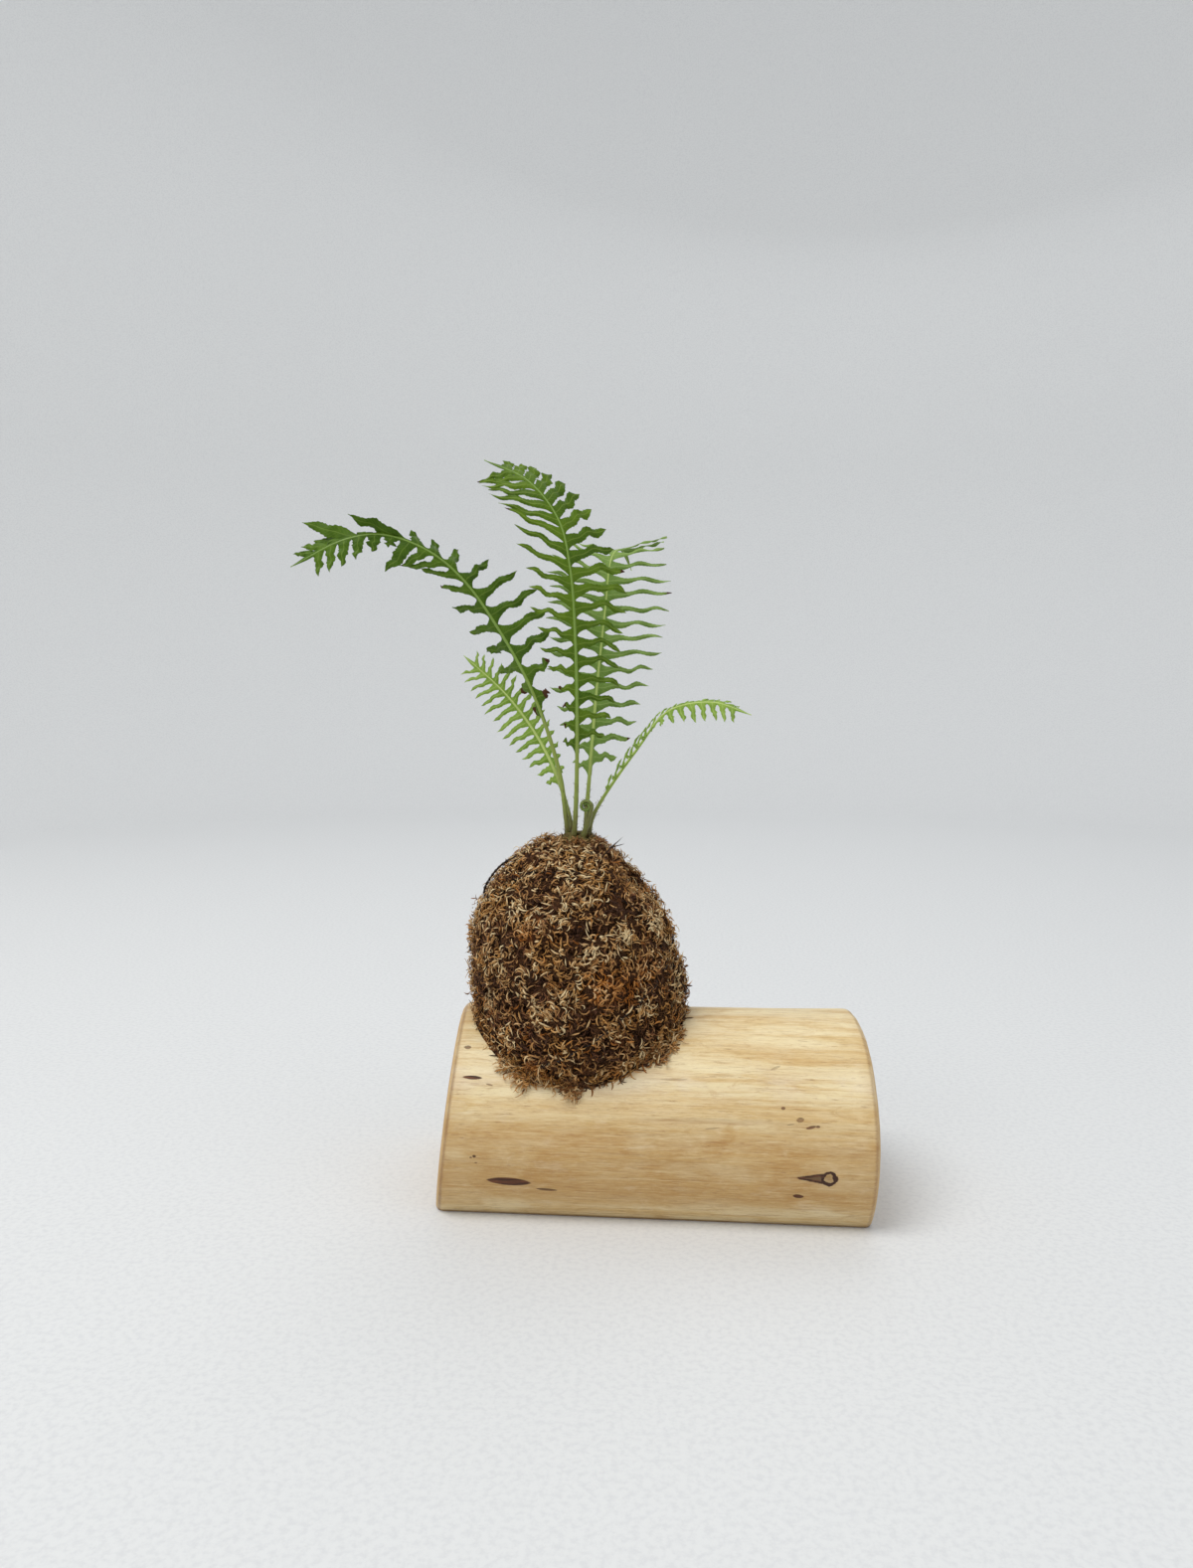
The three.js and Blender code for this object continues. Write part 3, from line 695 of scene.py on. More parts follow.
def through(knots: Array, values: Array, wanted: Array) -> Array:
    """A smooth curve through given values.

    Args:
        knots: Where the values lie, rising.
        values: One row for each knot.
        wanted: Where the curve is read.

    Returns:
        One row for each wanted place.
    """
    slopes = np.gradient(values, knots, axis=0)
    index = np.clip(np.searchsorted(knots, wanted, side="right") - 1, 0, len(knots) - 2)
    gap = (knots[index + 1] - knots[index])[:, None]
    t = (wanted[:, None] - knots[index][:, None]) / gap
    first, second = values[index], values[index + 1]
    return (
        (2 * t**3 - 3 * t**2 + 1) * first
        + (t**3 - 2 * t**2 + t) * gap * slopes[index]
        + (3 * t**2 - 2 * t**3) * second
        + (t**3 - t**2) * gap * slopes[index + 1]
    )


def catmull_rom(points: Array, divisions: int) -> Array:
    """A centripetal Catmull-Rom curve.

    Args:
        points: What it runs through.
        divisions: How many even steps of its parameter it is read at.

    Returns:
        The points read, in rows of 3.
    """
    before, after = 2 * points[0] - points[1], 2 * points[-1] - points[-2]
    padded = np.concatenate([[before], points, [after]])
    parameter = np.linspace(0, len(points) - 1, divisions + 1)
    index = np.minimum(parameter.astype(int), len(points) - 2)
    t = (parameter - index)[:, None]
    p0, p1, p2, p3 = (padded[index + k] for k in range(4))
    first, second, third = (
        np.sqrt(np.linalg.norm(b - a, axis=1, keepdims=True)) for a, b in ((p0, p1), (p1, p2), (p2, p3))
    )
    start = ((p1 - p0) / first - (p2 - p0) / (first + second) + (p2 - p1) / second) * second
    end = ((p2 - p1) / second - (p3 - p1) / (second + third) + (p3 - p2) / third) * second
    square, cube = -3 * p1 + 3 * p2 - 2 * start - end, 2 * p1 - 2 * p2 + start + end
    return p1 + start * t + square * t**2 + cube * t**3


def draws(seed: int) -> Callable[[], float]:
    """A repeatable source of numbers, the same as the part's own source uses.

    Args:
        seed: Where it starts.

    Returns:
        A function that gives the next number, between 0 and 1.
    """
    state = seed

    def draw() -> float:
        """The next number."""
        nonlocal state
        state = (state * 1664525 + 1013904223) & 0xFFFFFFFF
        return state / 2**32

    return draw


def laid_flat(directions: Array, up: Array) -> Array:
    """The directions of length 1 that the given ones have once they lie flat under the up directions."""
    return unit(directions - up * np.sum(directions * up, axis=1, keepdims=True))


def strewn(up: Array, rng: np.random.Generator) -> Array:
    """A scattered direction that lies flat under each of the up directions."""
    return laid_flat(rng.normal(size=up.shape), up)


def tube_faces(rings: int, sides: int) -> list[Array]:
    """The faces of a closed tube.

    Args:
        rings: How many rings of points it has.
        sides: How many points a ring has. The middles of the two ends come after the rings.

    Returns:
        Its skin, its first end and its last end.
    """
    index = np.arange(rings * sides).reshape(rings, sides)
    after = np.roll(index, -1, axis=1)
    skin = np.stack([index[:-1], after[:-1], after[1:], index[1:]], -1).reshape(-1, 4)
    first = np.stack([np.full(sides, rings * sides), after[0], index[0]], -1)
    last = np.stack([np.full(sides, rings * sides + 1), index[-1], after[-1]], -1)
    return [skin, first, last]


def turned_over(faces: Sequence[Array]) -> list[Array]:
    """The same faces seen from their other side, each from its same first corner."""
    return [np.roll(part[:, ::-1], 1, axis=1) for part in faces]


@dataclass
class Form:
    """The points, faces and carried values of one piece, gathered body by body."""

    points: list[Array] = field(default_factory=list)
    faces: list[Array] = field(default_factory=list)
    values: dict[str, list[Array]] = field(default_factory=dict)
    count: int = 0

    def add(self, points: Array, faces: Sequence[Array], **values: Array) -> None:
        """Adds a closed body.

        Args:
            points: Its points in millimetres, in rows of 3.
            faces: Arrays of faces, each with 3 or 4 corners a row.
            values: What each point carries, by name.
        """
        self.points.append(points)
        self.faces.extend(part + self.count for part in faces)
        for name, value in values.items():
            self.values.setdefault(name, []).append(np.broadcast_to(value, len(points)).astype(np.float32))
        self.count += len(points)

    def add_sheet(self, upper: Array, lower: Array, **values: Array) -> None:
        """Adds a thin closed sheet between two grids of points.

        Args:
            upper: The upper face's points, rows by columns by 3.
            lower: The lower face's points.
            values: What each point of a grid carries, rows by columns.
        """
        rows, columns = upper.shape[:2]
        index = np.arange(rows * columns).reshape(rows, columns)
        a, b, c, d = index[:-1, :-1], index[1:, :-1], index[1:, 1:], index[:-1, 1:]
        top = np.stack([a, b, c, d], -1).reshape(-1, 4)
        bottom = (top + rows * columns)[:, ::-1]
        ring = np.concatenate([index[0, :-1], index[:-1, -1], index[-1, :0:-1], index[:0:-1, 0]])
        after = np.roll(ring, -1)
        wall = np.stack([ring, after, after + rows * columns, ring + rows * columns], -1)
        points = np.concatenate([upper.reshape(-1, 3), lower.reshape(-1, 3)])
        across = upper[1:, :-1] - upper[:-1, 1:]
        along = upper[1:, 1:] - upper[:-1, :-1]
        facing = np.cross(along, across)
        outward = np.einsum("ijk,ijk->", facing, (upper - lower)[:-1, :-1])
        faces = [top, bottom, wall] if outward < 0 else [top[:, ::-1], bottom[:, ::-1], wall[:, ::-1]]
        doubled = {name: np.tile(np.asarray(v, float).ravel(), 2) for name, v in values.items()}
        self.add(points, faces, **doubled)

    def add_tube(self, centres: Array, side: Array, up: Array, profile: Array, **values: Array) -> None:
        """Adds a closed tube.

        Args:
            centres: The points of its middle line, in rows of 3.
            side: For each of them, the direction of the section's first axis.
            up: For each of them, the direction of its second axis.
            profile: The section at each of them, as rows of (first, second) offsets.
            values: What each point of the middle line carries.
        """
        rings, sides = profile.shape[:2]
        points = centres[:, None] + profile[..., 0:1] * side[:, None] + profile[..., 1:2] * up[:, None]
        points = np.concatenate([points.reshape(-1, 3), centres[:1], centres[-1:]])
        carried = {
            name: np.concatenate([np.repeat(np.asarray(v, float), sides), [v[0], v[-1]]])
            for name, v in values.items()
        }
        faces = tube_faces(rings, sides)
        if np.cross(side[0], up[0]) @ (centres[1] - centres[0]) <= 0:
            faces = [part[:, ::-1] for part in faces]
        self.add(points, faces, **carried)

    def add_strands(self, middles: Array, up: Array, radius: Array, flatness: float, **values: Array) -> None:
        """Adds many slim strands of three sides that are pointed at both ends.

        Args:
            middles: Their middle lines, strands by places by 3.
            up: For each strand, a direction that its flat side faces.
            radius: Each strand's greatest half width.
            flatness: The section's height as a share of its width.
            values: What each place of each strand carries.
        """
        count, places = middles.shape[:2]
        tangent = unit(np.gradient(middles, axis=1))
        side = unit(np.cross(tangent, up[:, None, :]))
        top = np.cross(side, tangent)
        share = np.linspace(0, 1, places)[1:-1]
        girth = radius[:, None] * np.sin(np.pi * share) ** 0.7
        turns = 2 * np.pi * np.arange(3) / 3
        around = (
            np.cos(turns)[None, None, :, None] * side[:, 1:-1, None, :]
            + flatness * np.sin(turns)[None, None, :, None] * top[:, 1:-1, None, :]
        )
        rings = middles[:, 1:-1, None, :] + around * girth[:, :, None, None]
        points = np.concatenate([rings.reshape(count, -1, 3), middles[:, :1], middles[:, -1:]], axis=1)
        shift = (np.arange(count) * points.shape[1])[:, None, None]
        one = turned_over(tube_faces(places - 2, 3))
        faces = [(part[None] + shift).reshape(-1, part.shape[1]) for part in one]
        carried = {}
        for name, value in values.items():
            spread = np.broadcast_to(value, (count, places))
            ringed = np.repeat(spread[:, 1:-1], 3, axis=1)
            carried[name] = np.concatenate([ringed, spread[:, :1], spread[:, -1:]], axis=1).ravel()
        self.add(points.reshape(-1, 3), faces, **carried)

    def add_hairs(
        self, roots: Array, lean: Array, length: Array, up: Array, radius: Array, flatness: float, tone: Array
    ) -> None:
        """Adds straight hairs, which are strands of five places.

        Args:
            roots: Where they start.
            lean: The direction of each.
            length: Their lengths.
            up: For each hair, a direction that its flat side faces.
            radius: Each hair's greatest half width.
            flatness: The section's height as a share of its width.
            tone: How pale each is.
        """
        share = np.linspace(0, 1, 5)
        middles = roots[:, None] + lean[:, None] * (share[None, :, None] * length[:, None, None])
        self.add_strands(middles, up, radius, flatness, tone=tone[:, None], along=share[None])

    def build(self, name: str, material: Material, sharp_angle: float = 40.0) -> bpy.types.Object:
        """Makes the object.

        Args:
            name: Its name.
            material: Its material.
            sharp_angle: Edges with a greater angle than this, in degrees, stay sharp.

        Returns:
            The object, in metres.
        """
        mesh = bpy.data.meshes.new(name)
        points = np.concatenate(self.points) * MM
        mesh.vertices.add(len(points))
        mesh.vertices.foreach_set("co", points.astype(np.float32).ravel())
        corners = np.concatenate([part.ravel() for part in self.faces])
        sizes = np.concatenate([np.full(len(part), part.shape[1]) for part in self.faces])
        mesh.loops.add(len(corners))
        mesh.loops.foreach_set("vertex_index", corners.astype(np.int32))
        mesh.polygons.add(len(sizes))
        starts = np.concatenate([[0], np.cumsum(sizes)[:-1]])
        mesh.polygons.foreach_set("loop_start", starts.astype(np.int32))
        mesh.update(calc_edges=True)
        mesh.shade_smooth()
        mesh.set_sharp_from_angle(angle=math.radians(sharp_angle))
        for key, parts in self.values.items():
            mesh.attributes.new(key, "FLOAT", "POINT").data.foreach_set("value", np.concatenate(parts))
        mesh.materials.append(material)
        made = bpy.data.objects.new(name, mesh)
        bpy.context.scene.collection.objects.link(made)
        return made


def place_piece(piece: bpy.types.Object, slot: Slot, *nodes: str) -> None:
    """Joins a piece to the part's one body and reports it.

    Args:
        piece: The piece.
        slot: The material slot that it belongs to; not used.
        nodes: The CAD nodes that it stands for.
    """
    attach(piece, "root")
    if nodes:
        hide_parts(*nodes)
    faces = sum(len(polygon.vertices) - 2 for polygon in piece.data.polygons)
    log.info("%s: %d triangles, stands for %s", piece.name, faces, ", ".join(nodes) or "nothing")


def keep_node(name: str, material: Material) -> None:
    """Dresses a CAD node that stays in view.

    Args:
        name: The node's name.
        material: Its material.
    """
    node = bpy.data.objects[name]
    for index in range(max(len(node.material_slots), 1)):
        if node.material_slots:
            node.material_slots[index].material = material
        else:
            node.data.materials.append(material)
    log.info("%s: kept from the frame", name)


def cut_away(piece: bpy.types.Object, cutter: bpy.types.Object) -> None:
    """Cuts one closed body out of another.

    Args:
        piece: The body that is cut, and keeps its material.
        cutter: The body that is taken out of it and then removed.
    """
    material = piece.data.materials[0]
    modifier = piece.modifiers.new("cut", "BOOLEAN")
    modifier.operation, modifier.solver, modifier.object = "DIFFERENCE", "MANIFOLD", cutter
    shaped = bpy.data.meshes.new_from_object(piece.evaluated_get(bpy.context.evaluated_depsgraph_get()))
    piece.modifiers.clear()
    piece.data = shaped
    shaped.materials.clear()
    shaped.materials.append(material)
    shaped.polygons.foreach_set("material_index", np.zeros(len(shaped.polygons), np.int32))
    bpy.data.objects.remove(cutter)


# The ball and the log.


@dataclass
class Ball:
    """The moss ball's egg shape, which the hollow in the log and the soil share."""

    centre: Point = (-32.0, -3.0, 88.0)
    radius: float = 48.0
    rise: float = 73.0
    drop: float = 50.0
    squareness: float = 2.2
    lean: float = -4.5
    lean_height: float = 37.0

    def points(self, directions: Array, offset: Any = 0.0) -> Array:
        """Points of the surface.

        Args:
            directions: Directions of length 1 from the centre, in rows of 3.
            offset: How far outside the surface each point lies.

        Returns:
            The points, in rows of 3.
        """
        flat = np.hypot(directions[:, 0], directions[:, 1]) / self.radius
        height = np.where(directions[:, 2] > 0, self.rise, self.drop)
        tall = np.abs(directions[:, 2] / height)
        reach = (flat**self.squareness + tall**self.squareness) ** (-1 / self.squareness) + offset
        made = directions * reach[:, None]
        made[:, 0] += self.lean * smoothstep(made[:, 2], 0.0, self.lean_height)
        return made + np.array(self.centre)

    def _upright(self, points: Array) -> Array:
        """The points as seen from the centre, with the ball's lean taken out."""
        local = points - np.array(self.centre)
        local[:, 0] -= self.lean * smoothstep(local[:, 2], 0.0, self.lean_height)
        return local

    def directions(self, points: Array) -> Array:
        """The directions from the centre in which the given points are seen."""
        return unit(self._upright(points))

    def normals(self, points: Array) -> Array:
        """The directions in which the surface faces at the given points."""
        local = self._upright(points)
        height = np.where(local[:, 2] > 0, self.rise, self.drop)
        return unit(local / np.stack([np.full(len(local), self.radius)] * 2 + [height], -1) ** 2)

    def globe(self, form: Form, detail: int, offset_at: Callable[[Array], Any]) -> None:
        """Adds the ball as a closed body.

        Args:
            form: What it is added to.
            detail: How many times the starting shape is divided.
            offset_at: The offset of each direction.
        """
        mesh = bpy.data.meshes.new("globe")
        grid = bmesh.new()
        bmesh.ops.create_icosphere(grid, subdivisions=detail, radius=1.0)
        grid.to_mesh(mesh)
        grid.free()
        directions = np.empty(len(mesh.vertices) * 3, np.float32)
        mesh.vertices.foreach_get("co", directions)
        corners = np.empty(len(mesh.loops), np.int32)
        mesh.loops.foreach_get("vertex_index", corners)
        bpy.data.meshes.remove(mesh)
        directions = unit(directions.reshape(-1, 3).astype(float))
        form.add(self.points(directions, offset_at(directions)), [corners.reshape(-1, 3)])


@dataclass
class LogStand:
    """The peeled half log with its flat underside, its sawn ends and the hollow for the ball."""

    ball: Ball
    length: float = 185.0
    depth_radius: float = 51.4
    height_radius: float = 49.4
    left: EndCut = EndCut(-92.5, math.tan(math.radians(6.8)), math.tan(math.radians(-6.1)))
    right: EndCut = EndCut(92.5, math.tan(math.radians(0.7)), math.tan(math.radians(-5.6)))
    edge_rounding: float = 3.5
    unevenness: float = 0.5
    wave_length: float = 40.0
    ridge_angle: float = 2.78
    ridge_breadth: float = 0.055
    hollow_allowance: float = 0.6
    stations: int = 120
    arc_steps: int = 170
    flat_steps: int = 24
    end_rings: int = 16
    rounding_steps: int = 7

    def height_over(self, points: Array) -> Array:
        """How far the points lie outside the round of the log, negative inside it."""
        rise = (points[..., 2] - LOG_AXIS_HEIGHT) / self.height_radius
        return (np.hypot(points[..., 1] / self.depth_radius, rise) - 1) * self.height_radius

    def clearance(self, points: Array) -> Array:
        """How clear of the log's round the points stand, from 0 close to it to 1 from 4 mm out."""
        return smoothstep(self.height_over(points), 0.5, 4.0)

    def outward(self, points: Array) -> Array:
        """The directions in which the log's round faces at the given points."""
        flat = np.zeros_like(points)
        flat[..., 1] = points[..., 1] / self.depth_radius**2
        flat[..., 2] = (points[..., 2] - LOG_AXIS_HEIGHT) / self.height_radius**2
        return unit(flat)

    def _section(self, inset: float, x: float) -> Array:
        """The log's section, with its waves and its ridge.

        Args:
            inset: How much smaller it is than in full.
            x: Where it lies along the log.

        Returns:
            Its points, in rows of (y, z).
        """
        flat_angle = math.asin(LOG_AXIS_HEIGHT / self.height_radius)
        share = np.linspace(0, 1, self.arc_steps + 1)
        angle = lerp(-flat_angle, math.pi + flat_angle, share)
        along = x / self.wave_length
        waves = np.sin(3 * angle + 2 * along) + 0.6 * np.sin(7 * angle - 3 * along)
        fine = 0.10 * np.sin(19 * angle + 0.9 * along) + 0.08 * np.sin(31 * angle - 1.7 * along)
        beside = (angle - self.ridge_angle - 0.02 * np.sin(along)) / self.ridge_breadth
        ridge = 0.55 * np.exp(-(beside**2)) * smoothstep(x, -40, 10)
        relief = self.unevenness * waves + fine + 0.8 * ridge
        swell = 1 + np.sin(np.pi * share) * relief / self.height_radius
        arc = np.stack([self.depth_radius * np.cos(angle), self.height_radius * np.sin(angle)], -1)
        arc = arc * swell[:, None]
        flat = np.linspace(arc[-1], arc[0], self.flat_steps + 1)[1:-1]
        flat[:, 1] = arc[0, 1]
        scale = 1 - inset / self.height_radius
        return np.concatenate([arc, flat]) * scale + np.array([0, LOG_AXIS_HEIGHT])

    def build(self) -> None:
        """Makes the log and puts it in place of its CAD node."""
        rounding = self.edge_rounding
        turn = np.linspace(0, math.pi / 2, self.rounding_steps + 1)
        insets = list(np.linspace(self.height_radius * 0.98, rounding, self.end_rings, endpoint=False))
        places = [-self.length / 2] * len(insets)
        insets += list(rounding * (1 - np.sin(turn)))
        places += list(rounding * (1 - np.cos(turn)) - self.length / 2)
        middle = np.linspace(-0.5, 0.5, self.stations + 1)[1:-1] * (self.length - 2 * rounding)
        all_insets = insets + [0.0] * len(middle) + insets[::-1]
        all_places = places + list(middle) + [-place for place in places[::-1]]
        rings = []
        for inset, x in zip(all_insets, all_places):
            y, z = self._section(inset, x).T
            along = lerp(self.left.place(y, z), self.right.place(y, z), x / self.length + 0.5)
            rings.append(np.stack([along, y, z], -1))
        grid = np.array(rings)
        points = np.concatenate([grid.reshape(-1, 3), grid[0].mean(0)[None], grid[-1].mean(0)[None]])
        form = Form()
        form.add(points, tube_faces(*grid.shape[:2]))
        piece = form.build("log", PeeledWood(self.left, self.right).build())
        hollow = Form()
        self.ball.globe(hollow, 6, lambda directions: self.hollow_allowance)
        cut_away(piece, hollow.build("hollow_cutter", piece.data.materials[0]))
        piece.data.set_sharp_from_angle(angle=math.radians(40))
        place_piece(piece, Slot.WOOD, "log_stand")


@dataclass
class Patch:
    """A region of the moss ball: its middle, its reach and how far it is raised."""

    centre: Sequence[float]
    reach: float
    rise: float = 0.0


def patches(*rows: Sequence[float]) -> tuple[Patch, ...]:
    """The patches whose middle, reach and, where they are raised, rise the rows give."""
    return tuple(Patch(row[:3], *row[3:]) for row in rows)


@dataclass(frozen=True)
class Strands:
    """How one kind of moss strand grows: the ranges of its measures, and how many stand at each tuft."""

    each: float
    length: tuple[float, float]
    radius: tuple[float, float]
    pitch: tuple[float, float]
    hook: tuple[float, float]
    twist: float


@dataclass
class MossBall:
    """The moss wrap: a matted ground under clumps of short dried strands that curl every way."""

    ball: Ball
    stand: LogStand
    thickness: float = 12.0
    relief: float = 2.3
    swell: float = 0.6
    clump_gap: float = 7.5
    clump_tries: int = 8000
    clump_edge: float = 3.6
    crease_depth: float = 2.2
    ground_depth: float = 2.2
    mat_depth: float = 1.6
    hole_radius: float = 8.8
    hole_floor: float = 138.7
    hole_top: float = 175.0
    tuft_gap: float = 3.3
    quick_gap: float = 8.25
    tuft_tries: int = 24000
    tuft_scatter: float = 1.5
    places: int = 6
    flatness: float = 0.42
    over_wood: float = 0.35
    fringe_tries: int = 90000
    fringe_count: int = 1200
    fringe_height: float = 1.3
    collar_count: int = 620
    collar_radius: float = 9.5
    collar_height: float = 159.2
    heap_count: int = 75
    sprig_count: int = 16
    seed: int = 5
    bands: tuple[tuple[str, float, float], ...] = (
        ("seat", 0.0, 84.0), ("lower", 84.0, 108.0), ("upper", 108.0, 130.0), ("crown", 130.0, 400.0),
    )
    kinds: tuple[Strands, ...] = (
        Strands(8.0, (3.0, 7.0), (0.22, 0.54), (-0.1, 0.45), (-1.4, 0.6), 2.4),
        Strands(2.8, (1.6, 3.4), (0.38, 0.72), (-0.2, 0.7), (-2.2, 1.2), 1.0),
        Strands(5.6, (2.8, 6.2), (0.22, 0.50), (0.45, 1.2), (-3.2, -1.4), 2.0),
        Strands(0.2, (3.2, 6.0), (0.12, 0.22), (0.4, 1.2), (-0.5, 0.4), 0.5),
    )
    standing: Strands = Strands(1.0, (2.4, 5.0), (0.2, 0.4), (0.1, 0.9), (-1.8, 0.2), 1.0)
    sprigs: tuple[Point, ...] = (
        (-76.8, -7.9, 127.3), (-78.6, -9.9, 121.1), (-76.4, -20.9, 119.5), (-77.5, -7, 132),
        (-58.6, -9.1, 152.8), (-1.8, -12.6, 138.2), (5, 1.1, 123.7), (13.8, -4.1, 99.6),
        (13.4, -16.6, 90.5), (-60, 33, 112), (-8, 36, 118), (-36, 43, 96), (-42.5, -8, 159.5),
        (-23, -9, 159.5), (-31, -14, 159.5),
    )
    lumps: tuple[Patch, ...] = patches(
        (-79, -8, 124, 9, 1.6), (6, -4, 121, 10, 1.6), (14, -6, 98, 10, 0.5), (-62, -6, 147, 9, -1.4),
        (-80, -10, 98, 9, 1.4), (-38, -50, 84, 12, 1.4), (-16, -48, 100, 10, 1.6), (-20, 44, 100, 12, 1.6),
        (-4, -6, 149, 18, -4.4), (0, -4, 141, 13, -3.6), (14, -8, 84, 9, -1.6), (-32, -6, 162, 15, -1.4),
    )
    rust: tuple[Patch, ...] = patches(
        (-18.4, -47.5, 104.2, 9), (-8, -43, 101, 7), (1, -37, 107, 5.5), (-51.1, -43.7, 123.3, 5),
        (-47, -44, 64.5, 7), (12, -20, 121, 7), (-40, 44, 108, 12), (-70, 20, 92, 9), (5, 30, 120, 8),
        (-8, -43, 62, 6),
    )
    fallen: tuple[tuple[float, float, float, float], ...] = (
        (-55.1, -39, 63.3, 4), (-48.1, -39.5, 62.8, 4), (-42, -40.5, 61.5, 3), (-59.8, -36.6, 65.8, 2.6),
        (-52.6, -41.2, 60.6, 2.4), (-32.7, -43.1, 57.9, 1.7), (-30.9, -44.3, 56.2, 1.3),
        (12.6, -22.5, 76, 1.8), (9.4, -28.5, 72.9, 2.2), (4.8, -32.4, 69.4, 2.6),
    )
    shaded_creases: tuple[Patch, ...] = patches(
        (-37.2, -46.5, 122.5, 4.2), (-28.5, -45, 124.5, 4), (-20.9, -42, 127, 4.2), (-12, -38, 127.5, 3.6),
        (-4.8, -32.2, 126, 3.8), (-42, -48, 116.5, 4), (-52, -46, 90, 4.5), (-26, -49, 84, 4.5),
        (-4.1, -41.5, 79.4, 4.5), (-18, -30, 145, 3), (-30, 44, 122, 5), (-55, 40, 95, 4.5),
        (4, 34, 95, 5),
    )

    def __post_init__(self) -> None:
        """Scatters the clumps over the ball."""
        self._form, self._rng = Form(), np.random.default_rng(self.seed)
        self._middles = self._spread(self.clump_gap, self.clump_tries)
        total = len(self._middles)
        self._swells = self._rng.normal(0, self.swell, total)
        self._tones = self._rng.normal(0.46, 0.18, total)
        self._headings = unit(self._rng.normal(size=(total, 3)))

    def build(self) -> None:
        """Makes the ground and the strands and puts them in place of the CAD node."""
        self._build_ground()
        finish = DriedMoss().build()
        self._rng = np.random.default_rng(self.seed)
        centres = self._spread(self.tuft_gap, self.tuft_tries)
        for name, low, high in self.bands:
            self._form = Form()
            self._add_mat(centres[(centres[:, 2] >= low) & (centres[:, 2] < high)])
            tufts = self._form.build(f"moss_tufts_{name}", finish, NO_SHARP_EDGE)
            place_piece(tufts, Slot.MOSS, "moss_wrap")
        self._form = Form()
        for add in (self._add_fringe, self._add_collar, self._add_fallen, self._add_sprigs):
            add()
        place_piece(self._form.build("moss_sprigs", finish, NO_SHARP_EDGE), Slot.MOSS, "moss_wrap")

    def _clump(self, points: Array) -> tuple[Array, Array]:
        """Finds the clump that each point belongs to.

        Args:
            points: Points of the ball's smooth shape.

        Returns:
            The clump's number, and 0 at its edge to 1 well inside it.
        """
        bent = points + 1.4 * np.sin(points[:, [1, 2, 0]] / 1.9 + np.sin(points[:, [2, 0, 1]] / 3.7))
        square = (bent**2).sum(1)[:, None] + (self._middles**2).sum(1) - 2 * bent @ self._middles.T
        two = np.argpartition(square, 1, axis=1)[:, :2]
        reach = np.sqrt(np.maximum(np.take_along_axis(square, two, axis=1), 0.0))
        return two[:, 0], smoothstep(reach[:, 1] - reach[:, 0], 0.0, self.clump_edge)

    @staticmethod
    def _near(points: Array, group: Sequence[Patch]) -> Array:
        """Finds how much each point belongs to a patch.

        Args:
            points: Points of the ball's smooth shape.
            group: The patches, of which the nearest counts.

        Returns:
            Shares between 0 and 1.
        """
        best = np.zeros(points.shape[:-1])
        for patch in group:
            distance = np.linalg.norm(points - np.array(patch.centre), axis=-1)
            best = np.maximum(best, smoothstep(distance, patch.reach * 1.25, patch.reach * 0.45))
        return best

    def height(self, points: Array) -> Array:
        """Finds how far out the moss lies.

        Args:
            points: Points of the ball's smooth shape.

        Returns:
            The heights over that shape.
        """
        clump, inside = self._clump(points)
        raised = inside * self._swells[clump] + self.relief * (inside - 0.6)
        raised = raised - self.crease_depth * self._near(points, self.shaded_creases)
        for lump in self.lumps:
            raised = raised + lump.rise * self._near(points, (lump,))
        return raised * self.stand.clearance(points)

    def _build_ground(self) -> None:
        """Makes the matted shell that the strands grow from, with its hole for the crown."""
        form, inner, hole = Form(), Form(), Form()
        self.ball.globe(
            form, 7,
            lambda directions: self.height(self.ball.points(directions)) - self.ground_depth,
        )
        piece = form.build("moss_ground", MossGround().build(), NO_SHARP_EDGE)
        self.ball.globe(inner, 5, lambda directions: 0.3 - self.thickness)
        cut_away(piece, inner.build("core_cutter", piece.data.materials[0]))
        turns = np.linspace(0, 2 * np.pi, 48, endpoint=False)
        ring = np.stack([np.cos(turns), np.sin(turns)], -1) * self.hole_radius
        centres = np.array([[*CROWN_AXIS, self.hole_floor], [*CROWN_AXIS, self.hole_top]])
        axes = np.eye(3)
        hole.add_tube(centres, axes[[0, 0]], axes[[1, 1]], np.array([ring, ring]))
        cut_away(piece, hole.build("hole_cutter", piece.data.materials[0]))
        piece.data.shade_smooth()
        place_piece(piece, Slot.MOSS, "moss_wrap")

    def _spread(self, gap: float, tries: int) -> Array:
        """Points spread evenly over the ball where it stands clear of the log.

        Args:
            gap: The least distance between two of them.
            tries: How many places are tried.

        Returns:
            The points, in rows of 3.
        """
        candidates = self.ball.points(unit(self._rng.normal(size=(tries, 3))))
        candidates = candidates[self.stand.height_over(candidates) > -0.3]
        kept = np.empty((len(candidates), 3))
        count = 0
        for point in candidates:
            if count == 0 or np.min(((kept[:count] - point) ** 2).sum(1)) > gap * gap:
                kept[count] = point
                count += 1
        log.info("%d places %.1f mm apart", count, gap)
        return kept[:count]

